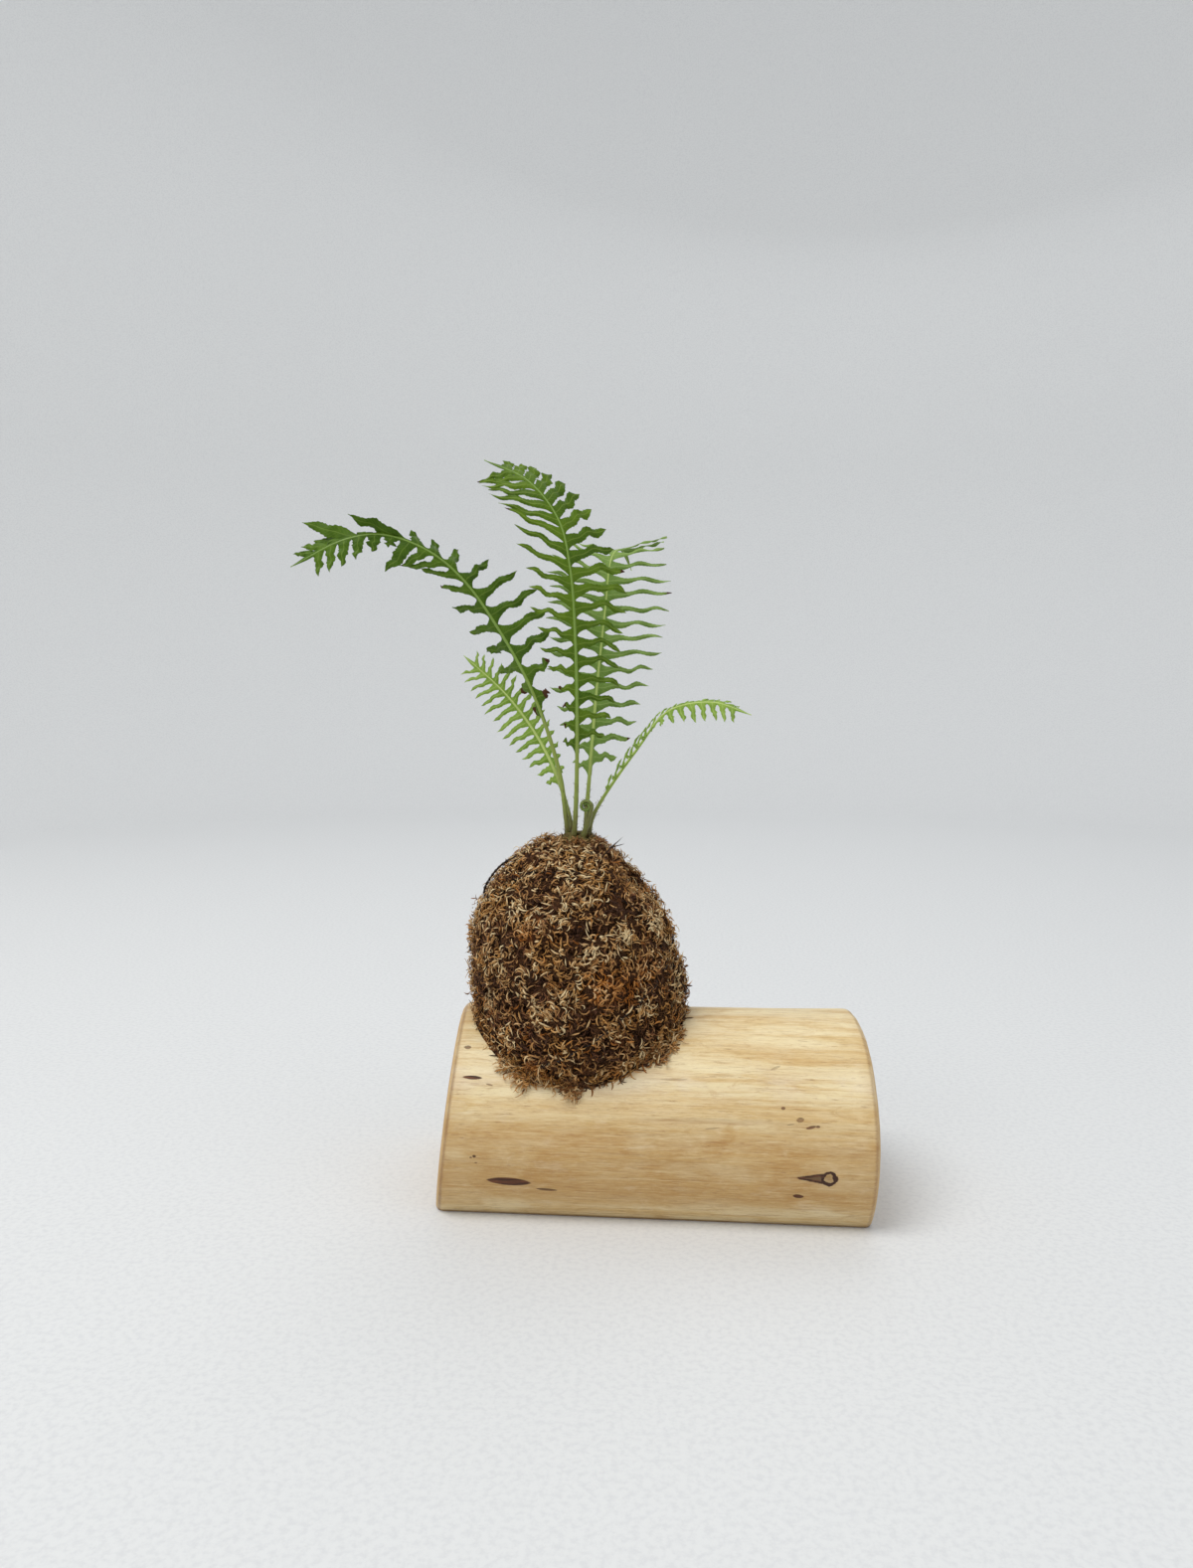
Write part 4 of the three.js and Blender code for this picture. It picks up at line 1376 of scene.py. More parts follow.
    def _add_mat(self, centres: Array) -> None:
        """Adds the strands, which point away from the middles of their clumps.

        Args:
            centres: Even places, round which the strands are scattered.
        """
        rng = self._rng
        for kind in self.kinds:
            pick = rng.integers(0, len(centres), round(len(centres) * kind.each))
            scattered = centres[pick] + rng.normal(0, self.tuft_scatter, (len(pick), 3))
            smooth = self.ball.points(self.ball.directions(scattered))
            clump, inside = self._clump(smooth)
            kept = (rng.random(len(pick)) < 0.6 + 0.4 * inside) & (self.stand.height_over(smooth) > -0.8)
            smooth, clump, inside = smooth[kept], clump[kept], inside[kept]
            total = len(smooth)
            up = self.ball.normals(smooth)
            away = unit(smooth - self._middles[clump]) + 0.8 * self._headings[clump]
            away = laid_flat(away + rng.normal(0, 0.9, (total, 3)), up)
            layer = rng.uniform(-0.9, 0.8, total)
            roots = smooth + up * (self.height(smooth) + layer - self.mat_depth)[:, None]
            # Painted shade: a strand is darker near its clump's edge and the deeper it lies in the mat. The
            # rest of its tone is its clump's and its own.
            tone = self._tones[clump] + rng.normal(0, 0.2, total) + 0.5 * (inside - 0.7) + 0.22 * layer
            low = 1 - smoothstep(smooth[:, 2], 78.0, 130.0)
            # Painted shade in the creases, and darker towards the ball's foot.
            tone = tone - 0.36 * self._near(smooth, self.shaded_creases) + 0.03 - 0.18 * low
            stray = np.where(rng.random(total) < 0.04 + 0.04 * low, 0.6, 0.0)
            rust = np.maximum(self._near(smooth, self.rust) * rng.uniform(0.2, 1.0, total), stray)
            self._grow(kind, roots, away, up, tone, rust)

    def _grow(self, kind: Strands, roots: Array, along: Array, up: Array, tone: Array, rust: Array) -> None:
        """Adds strands of one kind.

        Args:
            kind: How they grow.
            roots: Where they start.
            along: The direction that each sets out in over the surface.
            up: The surface's own direction there.
            tone: How pale each is.
            rust: How rusty each is.
        """
        rng = self._rng
        total = len(roots)
        share = np.linspace(0, 1, self.places)[None, :]
        rise = rng.uniform(*kind.pitch, (total, 1)) + rng.uniform(*kind.hook, (total, 1)) * share
        rise = rise[..., None]
        yaw = (rng.normal(0, kind.twist, (total, 1)) * share)[..., None]
        heading = np.cos(yaw) * along[:, None] + np.sin(yaw) * np.cross(up, along)[:, None]
        length = rng.uniform(*kind.length, (total, 1, 1))
        steps = (np.cos(rise) * heading + np.sin(rise) * up[:, None]) * length / (self.places - 1)
        line = np.concatenate([np.zeros_like(steps[:, :1]), np.cumsum(steps[:, :-1], axis=1)], axis=1)
        radius = rng.uniform(*kind.radius, total)
        tone = np.clip(tone, 0, 1)[:, None]
        middles = self._over_wood(roots[:, None] + line)
        carried = {"tone": tone, "along": share, "rust": rust[:, None]}
        self._form.add_strands(middles, up, radius, self.flatness, **carried)

    def _over_wood(self, middles: Array) -> Array:
        """The same lines, pushed out of the log where they would dip into it."""
        inside = np.abs(middles[..., 0]) < self.stand.length / 2
        push = np.where(inside, np.maximum(self.over_wood - self.stand.height_over(middles), 0.0), 0.0)
        return middles + self.stand.outward(middles) * push[..., None]

    def _add_fringe(self) -> None:
        """Adds loose strands that bridge the line between the ball and the rim of the hollow."""
        rng = self._rng
        candidates = self.ball.points(unit(rng.normal(size=(self.fringe_tries, 3))))
        height = self.stand.height_over(candidates)
        roots = candidates[(height > 0.0) & (height < self.fringe_height)][: self.fringe_count]
        total = len(roots)
        up = unit(self.ball.normals(roots) + 0.5 * self.stand.outward(roots))
        along = strewn(up, rng)
        roots = roots - up * rng.uniform(0.0, 1.0, (total, 1))
        # Painted shadow: the strands along the seat are darker than the rest.
        tone = rng.normal(0.34, 0.25, total)
        rust = np.where(rng.random(total) < 0.1, 0.6, 0.0)
        self._grow(self.kinds[0], roots, along, up, tone, rust)

    def _add_collar(self) -> None:
        """Adds the moss that stands up round the stems and closes over the crown."""
        rng = self._rng
        total = self.collar_count
        turn = rng.uniform(0, 2 * np.pi, total)
        reach = self.collar_radius * np.sqrt(rng.uniform(0.03, 1.3, total))
        x, y = CROWN_AXIS[0] + reach * np.cos(turn), CROWN_AXIS[1] + reach * np.sin(turn)
        z = self.collar_height - CROWN_SLOPE * reach**2 + rng.uniform(-0.8, 0.6, total)
        fan = turn + rng.normal(0, 1.2, total)
        along = np.stack([np.cos(fan), np.sin(fan), np.zeros(total)], -1)
        up = np.tile([0.0, 0.0, 1.0], (total, 1))
        rust = np.where(rng.random(total) < 0.15, 0.7, 0.0)
        tone = rng.normal(0.5, 0.25, total)
        self._grow(self.standing, np.stack([x, y, z], -1), along, up, tone, rust)

    def _add_fallen(self) -> None:
        """Adds the small heaps of moss that hang from the ball's foot onto the log."""
        rng = self._rng
        places = np.repeat(np.array(self.fallen), self.heap_count, axis=0)
        total = len(places)
        scatter = rng.normal(0, 0.6, (total, 3))
        roots = places[:, :3] + scatter * places[:, 3:]
        heap = 0.9 * places[:, 3] * np.exp(-(scatter**2).sum(1))
        up = self.stand.outward(roots)
        along = strewn(up, rng)
        roots = roots + up * (rng.uniform(0.2, 0.7 + heap) - self.stand.height_over(roots))[:, None]
        tone, rust = rng.normal(0.58, 0.25, total), rng.uniform(0.0, 0.25, total)
        self._grow(self.kinds[0], roots, along, up, tone, rust)

    def _add_sprigs(self) -> None:
        """Adds the small tufts that stand out from the ball's outline."""
        rng = self._rng
        middles = np.repeat(np.array(self.sprigs), self.sprig_count, axis=0)
        total = len(middles)
        up = self.ball.normals(middles)
        roots = middles - up * 0.8 + rng.normal(0, 0.9, (total, 3))
        along = strewn(up, rng)
        tone = rng.normal(0.5, 0.15, total)
        rust = np.where(rng.random(total) < 0.3, 0.6, 0.1)
        self._grow(self.standing, roots, along, up, tone, rust)


@dataclass
class BindingThread:
    """The dark thread: two loops drawn into the moss, and one slack arc at the upper left."""

    ball: Ball
    stand: LogStand
    moss: MossBall
    radius: float = 0.34
    slack_radius: float = 0.48
    loop_offset: float = -0.7
    seated_offset: float = -0.8
    normals: tuple[Point, ...] = ((0.1, 0.9, 0.42), (-0.5, -0.25, 0.83))
    steps: int = 260
    sides: int = 8
    slack_steps: int = 60
    twist: float = 1.4
    slack: tuple[Point, ...] = (
        (-68, -14, 127), (-72.8, -13, 132), (-73.9, -12.5, 137.2), (-70.9, -12.5, 142.9),
        (-66.8, -12.5, 147.7), (-61.4, -12.5, 151.5), (-55.2, -12.5, 153.2), (-50, -12.5, 151.5),
    )

    def build(self) -> None:
        """Makes the thread and puts it in place of its CAD node."""
        self._form = Form()
        angle = np.linspace(0, 2 * np.pi, self.steps)
        for normal in self.normals:
            axis = unit(np.array(normal))
            start = unit(np.cross([0.0, 0.0, 1.0], axis))
            directions = np.cos(angle)[:, None] * start + np.sin(angle)[:, None] * np.cross(axis, start)
            smooth = self.ball.points(directions)
            free = self.stand.clearance(smooth)
            wander = 0.5 * np.sin(angle * 23) * free
            offset = lerp(self.seated_offset, self.loop_offset, free) + self.moss.height(smooth)
            centres = self.ball.points(directions, offset) + wander[:, None] * axis
            centres[-1] = centres[0]
            self._lay(centres, axis, self.radius)
        knots = np.array(self.slack)
        wanted = np.linspace(0, len(knots) - 1, self.slack_steps)
        arc = through(np.arange(len(knots), dtype=float), knots, wanted)
        self._lay(arc, np.array([0.0, 1.0, 0.0]), self.slack_radius)
        piece = self._form.build("binding_thread_plies", DarkThread().build(), 60.0)
        place_piece(piece, Slot.THREAD, "binding_thread")

    def _lay(self, centres: Array, beside: Array, radius: float) -> None:
        """Adds a thread along a line, with its section turned about it as two plies are.

        Args:
            centres: The line.
            beside: A direction that the line is never parallel to.
            radius: The thread's radius.
        """
        tangent = unit(np.gradient(centres, axis=0))
        side = unit(np.cross(tangent, beside))
        up = np.cross(side, tangent)
        run = np.concatenate([[0], np.cumsum(np.linalg.norm(np.diff(centres, axis=0), axis=1))])
        around = np.linspace(0, 2 * np.pi, self.sides, endpoint=False)
        turns = around + (run * self.twist)[:, None]
        swell = radius * (1 + 0.3 * np.cos(2 * around))
        profile = np.stack([np.cos(turns) * swell, np.sin(turns) * swell], -1)
        self._form.add_tube(centres, side, up, profile, run=run, tone=np.zeros(len(run)))


# The fern.


@dataclass
class OddLobe:
    """A lobe unlike its neighbours: its place, the share that is still green, its size and its turn."""

    pair: int
    side: Side
    green: float = 1.0
    shrink: float = 0.7
    longer: float = 1.0
    broader: float = 1.0
    turned: float = 0.0
    raised: float = 0.0


@dataclass
class Frond:
    """One frond: its path from the crown to the tip, and its blade of pointed lobes.

    What facing and the tables for the lobes say is spread evenly over the blade, from its foot to its tip.
    A table for the lobes has one row for those on the left and one for those on the right.
    """

    name: str
    slot: Slot
    leaf: FrondLeaf
    stalk: tuple[Colour, Colour, Colour]
    seed: int
    path: Table
    facing: Table
    stem_length: float
    pairs: int
    crowding: float
    steps: int
    length: Table
    breadth: Table
    angle: Table
    sweep: Table
    lift: Table
    curl: Table = field(default_factory=lambda: [[0], [0]])
    odd: tuple[OddLobe, ...] = ()
    browned: float = 0.12
    overlap: float = 0.0
    blunt_right: float = 0.0
    flare: float = 5.5
    stem_radius: float = 1.2
    blade_radius: float = 0.85
    tip_radius: float = 0.4
    wing: float = 1.0
    angle_scatter: float = 2.0
    length_scatter: float = 0.06
    wave: float = 0.45
    zigzag: float = 0.2
    ruffle: float = 0.42
    thickness: float = 0.36
    edge_thickness: float = 0.16
    foot_share: float = 0.07
    tooth: float = 1.9
    rows: int = 34
    columns: int = 9
    strip_columns: int = 6
    stalk_sides: int = 12
    stem_rings: int = 50
    blade_rings: int = 120

    def __post_init__(self) -> None:
        """Measures the path, and spreads the rows and columns that every lobe has."""
        fine = catmull_rom(np.array(self.path, float), 400)
        self._run = np.concatenate([[0], np.cumsum(np.linalg.norm(np.diff(fine, axis=0), axis=1))])
        self._line = fine
        self.total = float(self._run[-1])
        self._shares = np.concatenate([np.linspace(0.0, 0.1, 6)[1:-1], np.linspace(0.1, 1, self.rows - 5)])
        self._span = np.linspace(-1, 1, self.columns)

    def frames(self, distance: Array) -> dict[str, Array]:
        """The frond's own directions.

        Args:
            distance: How far along its path they are wanted, from its foot.

        Returns:
            Its centre, forward, right and normal directions, and the share of the blade that lies behind.
        """
        distance = np.clip(np.atleast_1d(distance), 0, self.total)

        def at(where: Array) -> Array:
            """Points of the path."""
            where = np.clip(where, 0, self.total)
            return np.stack([np.interp(where, self._run, self._line[:, k]) for k in range(3)], -1)

        forward = unit(at(distance + 0.5) - at(distance - 0.5))
        along = np.clip((distance - self.stem_length) / (self.total - self.stem_length), 0, 1)
        places = np.linspace(0, 1, len(self.facing))
        look = np.stack([np.interp(along, places, values) for values in zip(*self.facing)], -1)
        right = unit(np.cross(forward, look))
        up = unit(np.cross(right, forward))
        return {"centre": at(distance), "forward": forward, "right": right, "normal": up, "along": along}

    def build(self) -> None:
        """Makes the blade and the stalk and puts them in place of the CAD node."""
        self._blade = Form()
        self._draw, self._finer = draws(self.seed), draws(self.seed + 1000)
        count = 2 * self.pairs + 2
        share = np.arange(count) / (count + 2)
        crowded = share * (1 + self.crowding * (1 - share))
        places = self.stem_length + (self.total - self.stem_length) * crowded
        self._add_strip(Side.RIGHT, places[0], places[1])
        for pair in range(self.pairs):
            for side, first in ((Side.LEFT, 2 * pair), (Side.RIGHT, 2 * pair + 1)):
                self._add_lobe(side, pair, places[first : first + 3])
        self._add_strip(Side.LEFT, places[-2], places[-1])
        for side in Side:
            self._add_strip(side, places[-1], self.total, True)
        place_piece(self._blade.build(f"{self.name}_blade", self.leaf.build(), 50.0), self.slot, self.name)
        self._build_stalk()

    def _add_strip(self, side: Side, low: float, high: float, closing: bool = False) -> None:
        """Adds a plain strip of wing beside the midrib.

        Args:
            side: The side that it lies on.
            low: Where it starts along the path.
            high: Where it ends.
            closing: Whether it closes to a point, as it does at the frond's tip.
        """
        frames = self.frames(np.linspace(low, high, self.strip_columns))
        width = self.wing * np.linspace(1, 0.05 if closing else 1, self.strip_columns)
        edge = frames["centre"] + frames["right"] * (side.value * width)[:, None]
        rows = np.stack([frames["centre"], (frames["centre"] + edge) / 2, edge])
        off = frames["normal"][None] * np.array([0.5, 0.42, 0.25])[:, None, None] * self.thickness
        shown = {"run": 0.0, "across": 1.0, "tone": 0.4, "dry": 0.0}
        carried = {name: np.full(rows.shape[:2], value) for name, value in shown.items()}
        self._blade.add_sheet(rows + off, rows - off, **carried)

    def _add_lobe(self, side: Side, pair: int, places: Array) -> None:
        """Adds one lobe, widest at its foot, narrowing to a waved strap with a toothed edge.

        Args:
            side: The side that it stands on.
            pair: Which pair it belongs to, counted from the blade's foot.
            places: Where its foot starts, where its middle is and where it ends, along the path.
        """
        sign = side.value
        middle = {key: value[0] for key, value in self.frames(places[1:2]).items()}
        column = 1 if side is Side.RIGHT else 0
        mean, breadth, angle, sweep, lift, curl = (
            np.interp(middle["along"], np.linspace(0, 1, len(table[column])), table[column])
            for table in (self.length, self.breadth, self.angle, self.sweep, self.lift, self.curl)
        )
        odd = (lobe for lobe in self.odd if lobe.pair == pair and lobe.side is side)
        spot = next(odd, OddLobe(pair, side))
        angle = angle + spot.turned + self.angle_scatter * (2 * self._draw() - 1)
        length = mean * (1 + self.length_scatter * (2 * self._draw() - 1)) * spot.longer
        phase = 0 if self._draw() < 0.5 else 1
        edge_draw, flutter_draw, tone_draw, brown_draw = (self._finer() for _ in range(4))
        breadth, withers = breadth * spot.broader, spot.green < 1
        half_pitch = 0.5 * (places[2] - places[0])
        shares, span = self._shares, self._span
        bends = (angle, sweep, lift + spot.raised, curl)
        spine, across, normal, half = self._spine(middle, sign, length, half_pitch, phase, bends)
        blunt = self.blunt_right if side is Side.RIGHT else 0.0
        inner, outer = self._widths(half, breadth, edge_draw, length, blunt)
        place = np.where(span < 0, inner[:, None], outer[:, None]) * span
        flutter = self._flutter(half, flutter_draw)
        grid = spine[:, None] + across[:, None] * place[..., None] + normal[:, None] * flutter[..., None]
        if withers:
            grid = self._shrivel(grid, spot, middle["normal"], spine)
        foot = self.frames(np.linspace(places[0], places[2], self.columns))
        ridge, wing = foot["centre"], foot["centre"] + foot["right"] * sign * self.wing
        grid = np.concatenate([ridge[None], (ridge + wing)[None] / 2, wing[None], grid])
        flat = np.repeat(foot["normal"][None], 3, axis=0)
        raised = np.repeat(normal[:, None], len(span), axis=1)
        taper = np.concatenate([np.ones(3), 1 - 0.6 * shares**3])[:, None, None]
        thick = lerp(self.thickness, self.edge_thickness, np.abs(span)[None, :, None] ** 2)
        off = np.concatenate([flat, raised]) * thick * taper / 2
        run = np.concatenate([[-1.0, -0.5, 0.0], shares * length])[:, None] * np.ones((1, self.columns))
        across_mm = np.concatenate([np.repeat(span[None] * half_pitch, 3, axis=0), place])
        dry, tone = np.zeros_like(run), np.full_like(run, tone_draw)
        if withers:
            dry[3:] = smoothstep(shares, spot.green - 0.12, spot.green + 0.12)[:, None]
        elif brown_draw < self.browned:
            dry[3:] = smoothstep(shares, 0.86, 0.99)[:, None]
        self._blade.add_sheet(grid + off, grid - off, run=run, across=across_mm, tone=tone, dry=dry)

    def _spine(
        self, middle: dict[str, Array], sign: int, length: float, half_pitch: float, phase: int,
        bends: tuple[float, float, float, float],
    ) -> tuple[Array, Array, Array, Array]:
        """Lays out the middle line of a lobe.

        Args:
            middle: The frond's own directions where the lobe stands.
            sign: Its side.
            length: Its length.
            half_pitch: Half the stretch of midrib that it stands on.
            phase: Which way its first wave turns, 0 or 1.
            bends: Its angle from the midrib and how far that sweeps, then its lift and how far that curls.

        Returns:
            Its points, the directions across it, the directions that it faces and half its pitch there.
        """
        angle, sweep, lift, curl = bends
        forward, right = middle["forward"], middle["right"] * sign
        rising = np.arange(self.steps) / (self.steps - 1)
        knots = np.concatenate([[0.0], self.foot_share + (1 - self.foot_share) * rising])
        bend = knots * knots
        heading = np.radians(angle + sweep * bend)[:, None]
        rise = np.radians(lift * smoothstep(knots, 0, 0.25) + curl * bend)[:, None]
        level = forward * np.cos(heading) + right * np.sin(heading)
        outward = level * np.cos(rise) + middle["normal"] * np.sin(rise)
        steep = math.sin(math.radians(angle))
        square = smoothstep(knots, 0, lerp(0.15, 0.45, steep))
        across = unit(forward - outward * ((outward @ forward) * square)[:, None])
        normal = unit(np.cross(outward, across) * sign)
        half = half_pitch * lerp(1, max(steep, self.overlap), square)
        turn = np.where((np.arange(len(knots)) + phase) % 2 == 0, 1, -1)
        turn[[0, -1]] = 0
        line = middle["centre"] + right * self.wing
        line = line + np.cumsum(outward * np.diff(knots, prepend=0.0)[:, None] * length, axis=0)
        line = line + across * (self.zigzag * half * turn * np.minimum(1, knots * 2))[:, None]
        line = line + normal * (self.wave * turn * knots)[:, None]
        spine, across, normal, half = (
            through(knots, values, self._shares) for values in (line, across, normal, half[:, None])
        )
        return spine, unit(across), unit(normal), half[:, 0]

    def _widths(
        self, half: Array, breadth: float, scatter: float, length: float, blunt: float
    ) -> list[Array]:
        """The lobe's half widths towards the frond's foot and towards its tip.

        Args:
            half: Half the lobe's pitch at each place along it.
            breadth: The strap's breadth as a share of the pitch.
            scatter: A number between 0 and 1 that sets where its teeth fall.
            length: The lobe's length.
            blunt: How broad its end is, from 0 to 1.

        Returns:
            The two rows of half widths.
        """
        shares = self._shares
        foot = 0.1 * np.maximum(0, 1 - shares / self.foot_share) ** 2
        shape = breadth + (0.9 - breadth) * (1 - shares) ** self.flare + foot
        tip_start = lerp(lerp(0.74, 0.42, float(smoothstep(breadth, 0.3, 0.6))), 0.8, blunt)
        tip = np.clip((shares - tip_start) / (1 - tip_start), 0, 1)
        shape = shape * np.maximum(1 - tip ** lerp(1.7, 2.4, blunt), 0.03)
        sides = []
        for turn in (0.0, 0.45):
            teeth = (shares * length / self.tooth + scatter * 3 + turn) % 1.0
            saw = 0.13 * (teeth - 0.5) * smoothstep(shares, 0.05, 0.3) * smoothstep(shares, 1.0, 0.9)
            wave = 0.13 * np.sin(2 * np.pi * (2.6 * shares + scatter + turn * 1.3))
            sides.append(half * shape * (1 + 2 * saw + 1.3 * wave * smoothstep(shares, 0.1, 0.4)))
        return sides

    def _flutter(self, half: Array, scatter: float) -> Array:
        """How far the lobe lies off its middle plane, by its waved edges and its shallow trough.

        Args:
            half: Half the lobe's pitch at each place along it.
            scatter: A number between 0 and 1 that sets where the waves fall.

        Returns:
            The distances, places along by places across.
        """
        shares, span = self._shares, self._span
        rising = smoothstep(shares, 0.12, 0.5)[:, None] * np.abs(span) ** 1.4
        cycle = 2 * np.pi * (2.4 * shares[:, None] + scatter) + np.where(span > 0, 0.0, 1.9)
        return (self.ruffle * 0.45 * rising * np.sin(cycle) - 0.10 * span**2) * half[:, None]

    def _shrivel(self, grid: Array, spot: OddLobe, normal: Array, spine: Array) -> Array:
        """Dries the end of a lobe, which draws together, curls and hangs down.

        Args:
            grid: The lobe's points.
            spot: Which share of it is still green, and how far the rest shrinks.
            normal: The direction that the frond faces there.
            spine: The lobe's middle line.

        Returns:
            The points moved.
        """
        dried = smoothstep(self._shares, spot.green - 0.1, 1.0)[:, None, None]
        start = spine[np.searchsorted(self._shares, spot.green)]
        drawn = lerp(grid, spine[:, None] + (grid - spine[:, None]) * 0.55, dried)
        curled = start + (drawn - start) * lerp(1.0, 1 - spot.shrink, dried)
        turn = 7.0 * dried
        curled = curled + normal * (0.9 * np.sin(turn) * dried)
        return curled - np.array([0, 0, 1.0]) * (0.6 * dried * (1 - np.cos(turn)))

    def _build_stalk(self) -> None:
        """Makes the stalk and the midrib as one tube, grooved along its upper face."""
        stem = np.linspace(0, self.stem_length, self.stem_rings)
        distance = np.concatenate([stem, np.linspace(self.stem_length, self.total, self.blade_rings)[1:]])
        frames = self.frames(distance)
        share = np.clip(distance / self.stem_length, 0, 1)
        radius = np.where(
            distance < self.stem_length,
            lerp(self.stem_radius, self.blade_radius, share),
            lerp(self.blade_radius, self.tip_radius * 0.55, frames["along"]),
        )
        turns = np.linspace(0, 2 * np.pi, self.stalk_sides, endpoint=False)
        groove = 1 - 0.22 * np.exp(-(((turns - np.pi / 2) / 0.5) ** 2))
        circle = radius[:, None] * groove * (1 + 0.03 * np.sin(distance * 0.9))[:, None]
        profile = np.stack([np.cos(turns) * circle, np.sin(turns) * circle], -1)
        form = Form()
        form.add_tube(frames["centre"], frames["right"], frames["normal"], profile, run=distance)
        finish = Stipe(f"{self.name}_stalk", *self.stalk, self.stem_length)
        place_piece(form.build(finish.name, finish.build(), 60.0), self.slot, self.name)


DEEP_STALK = (paint(102, 98, 44), paint(134, 148, 66), paint(122, 150, 62))
LIGHT_STALK = (paint(104, 100, 48), paint(140, 154, 72), paint(170, 190, 102))
PALE_STALK = (paint(96, 90, 44), paint(138, 154, 72), paint(180, 198, 112))


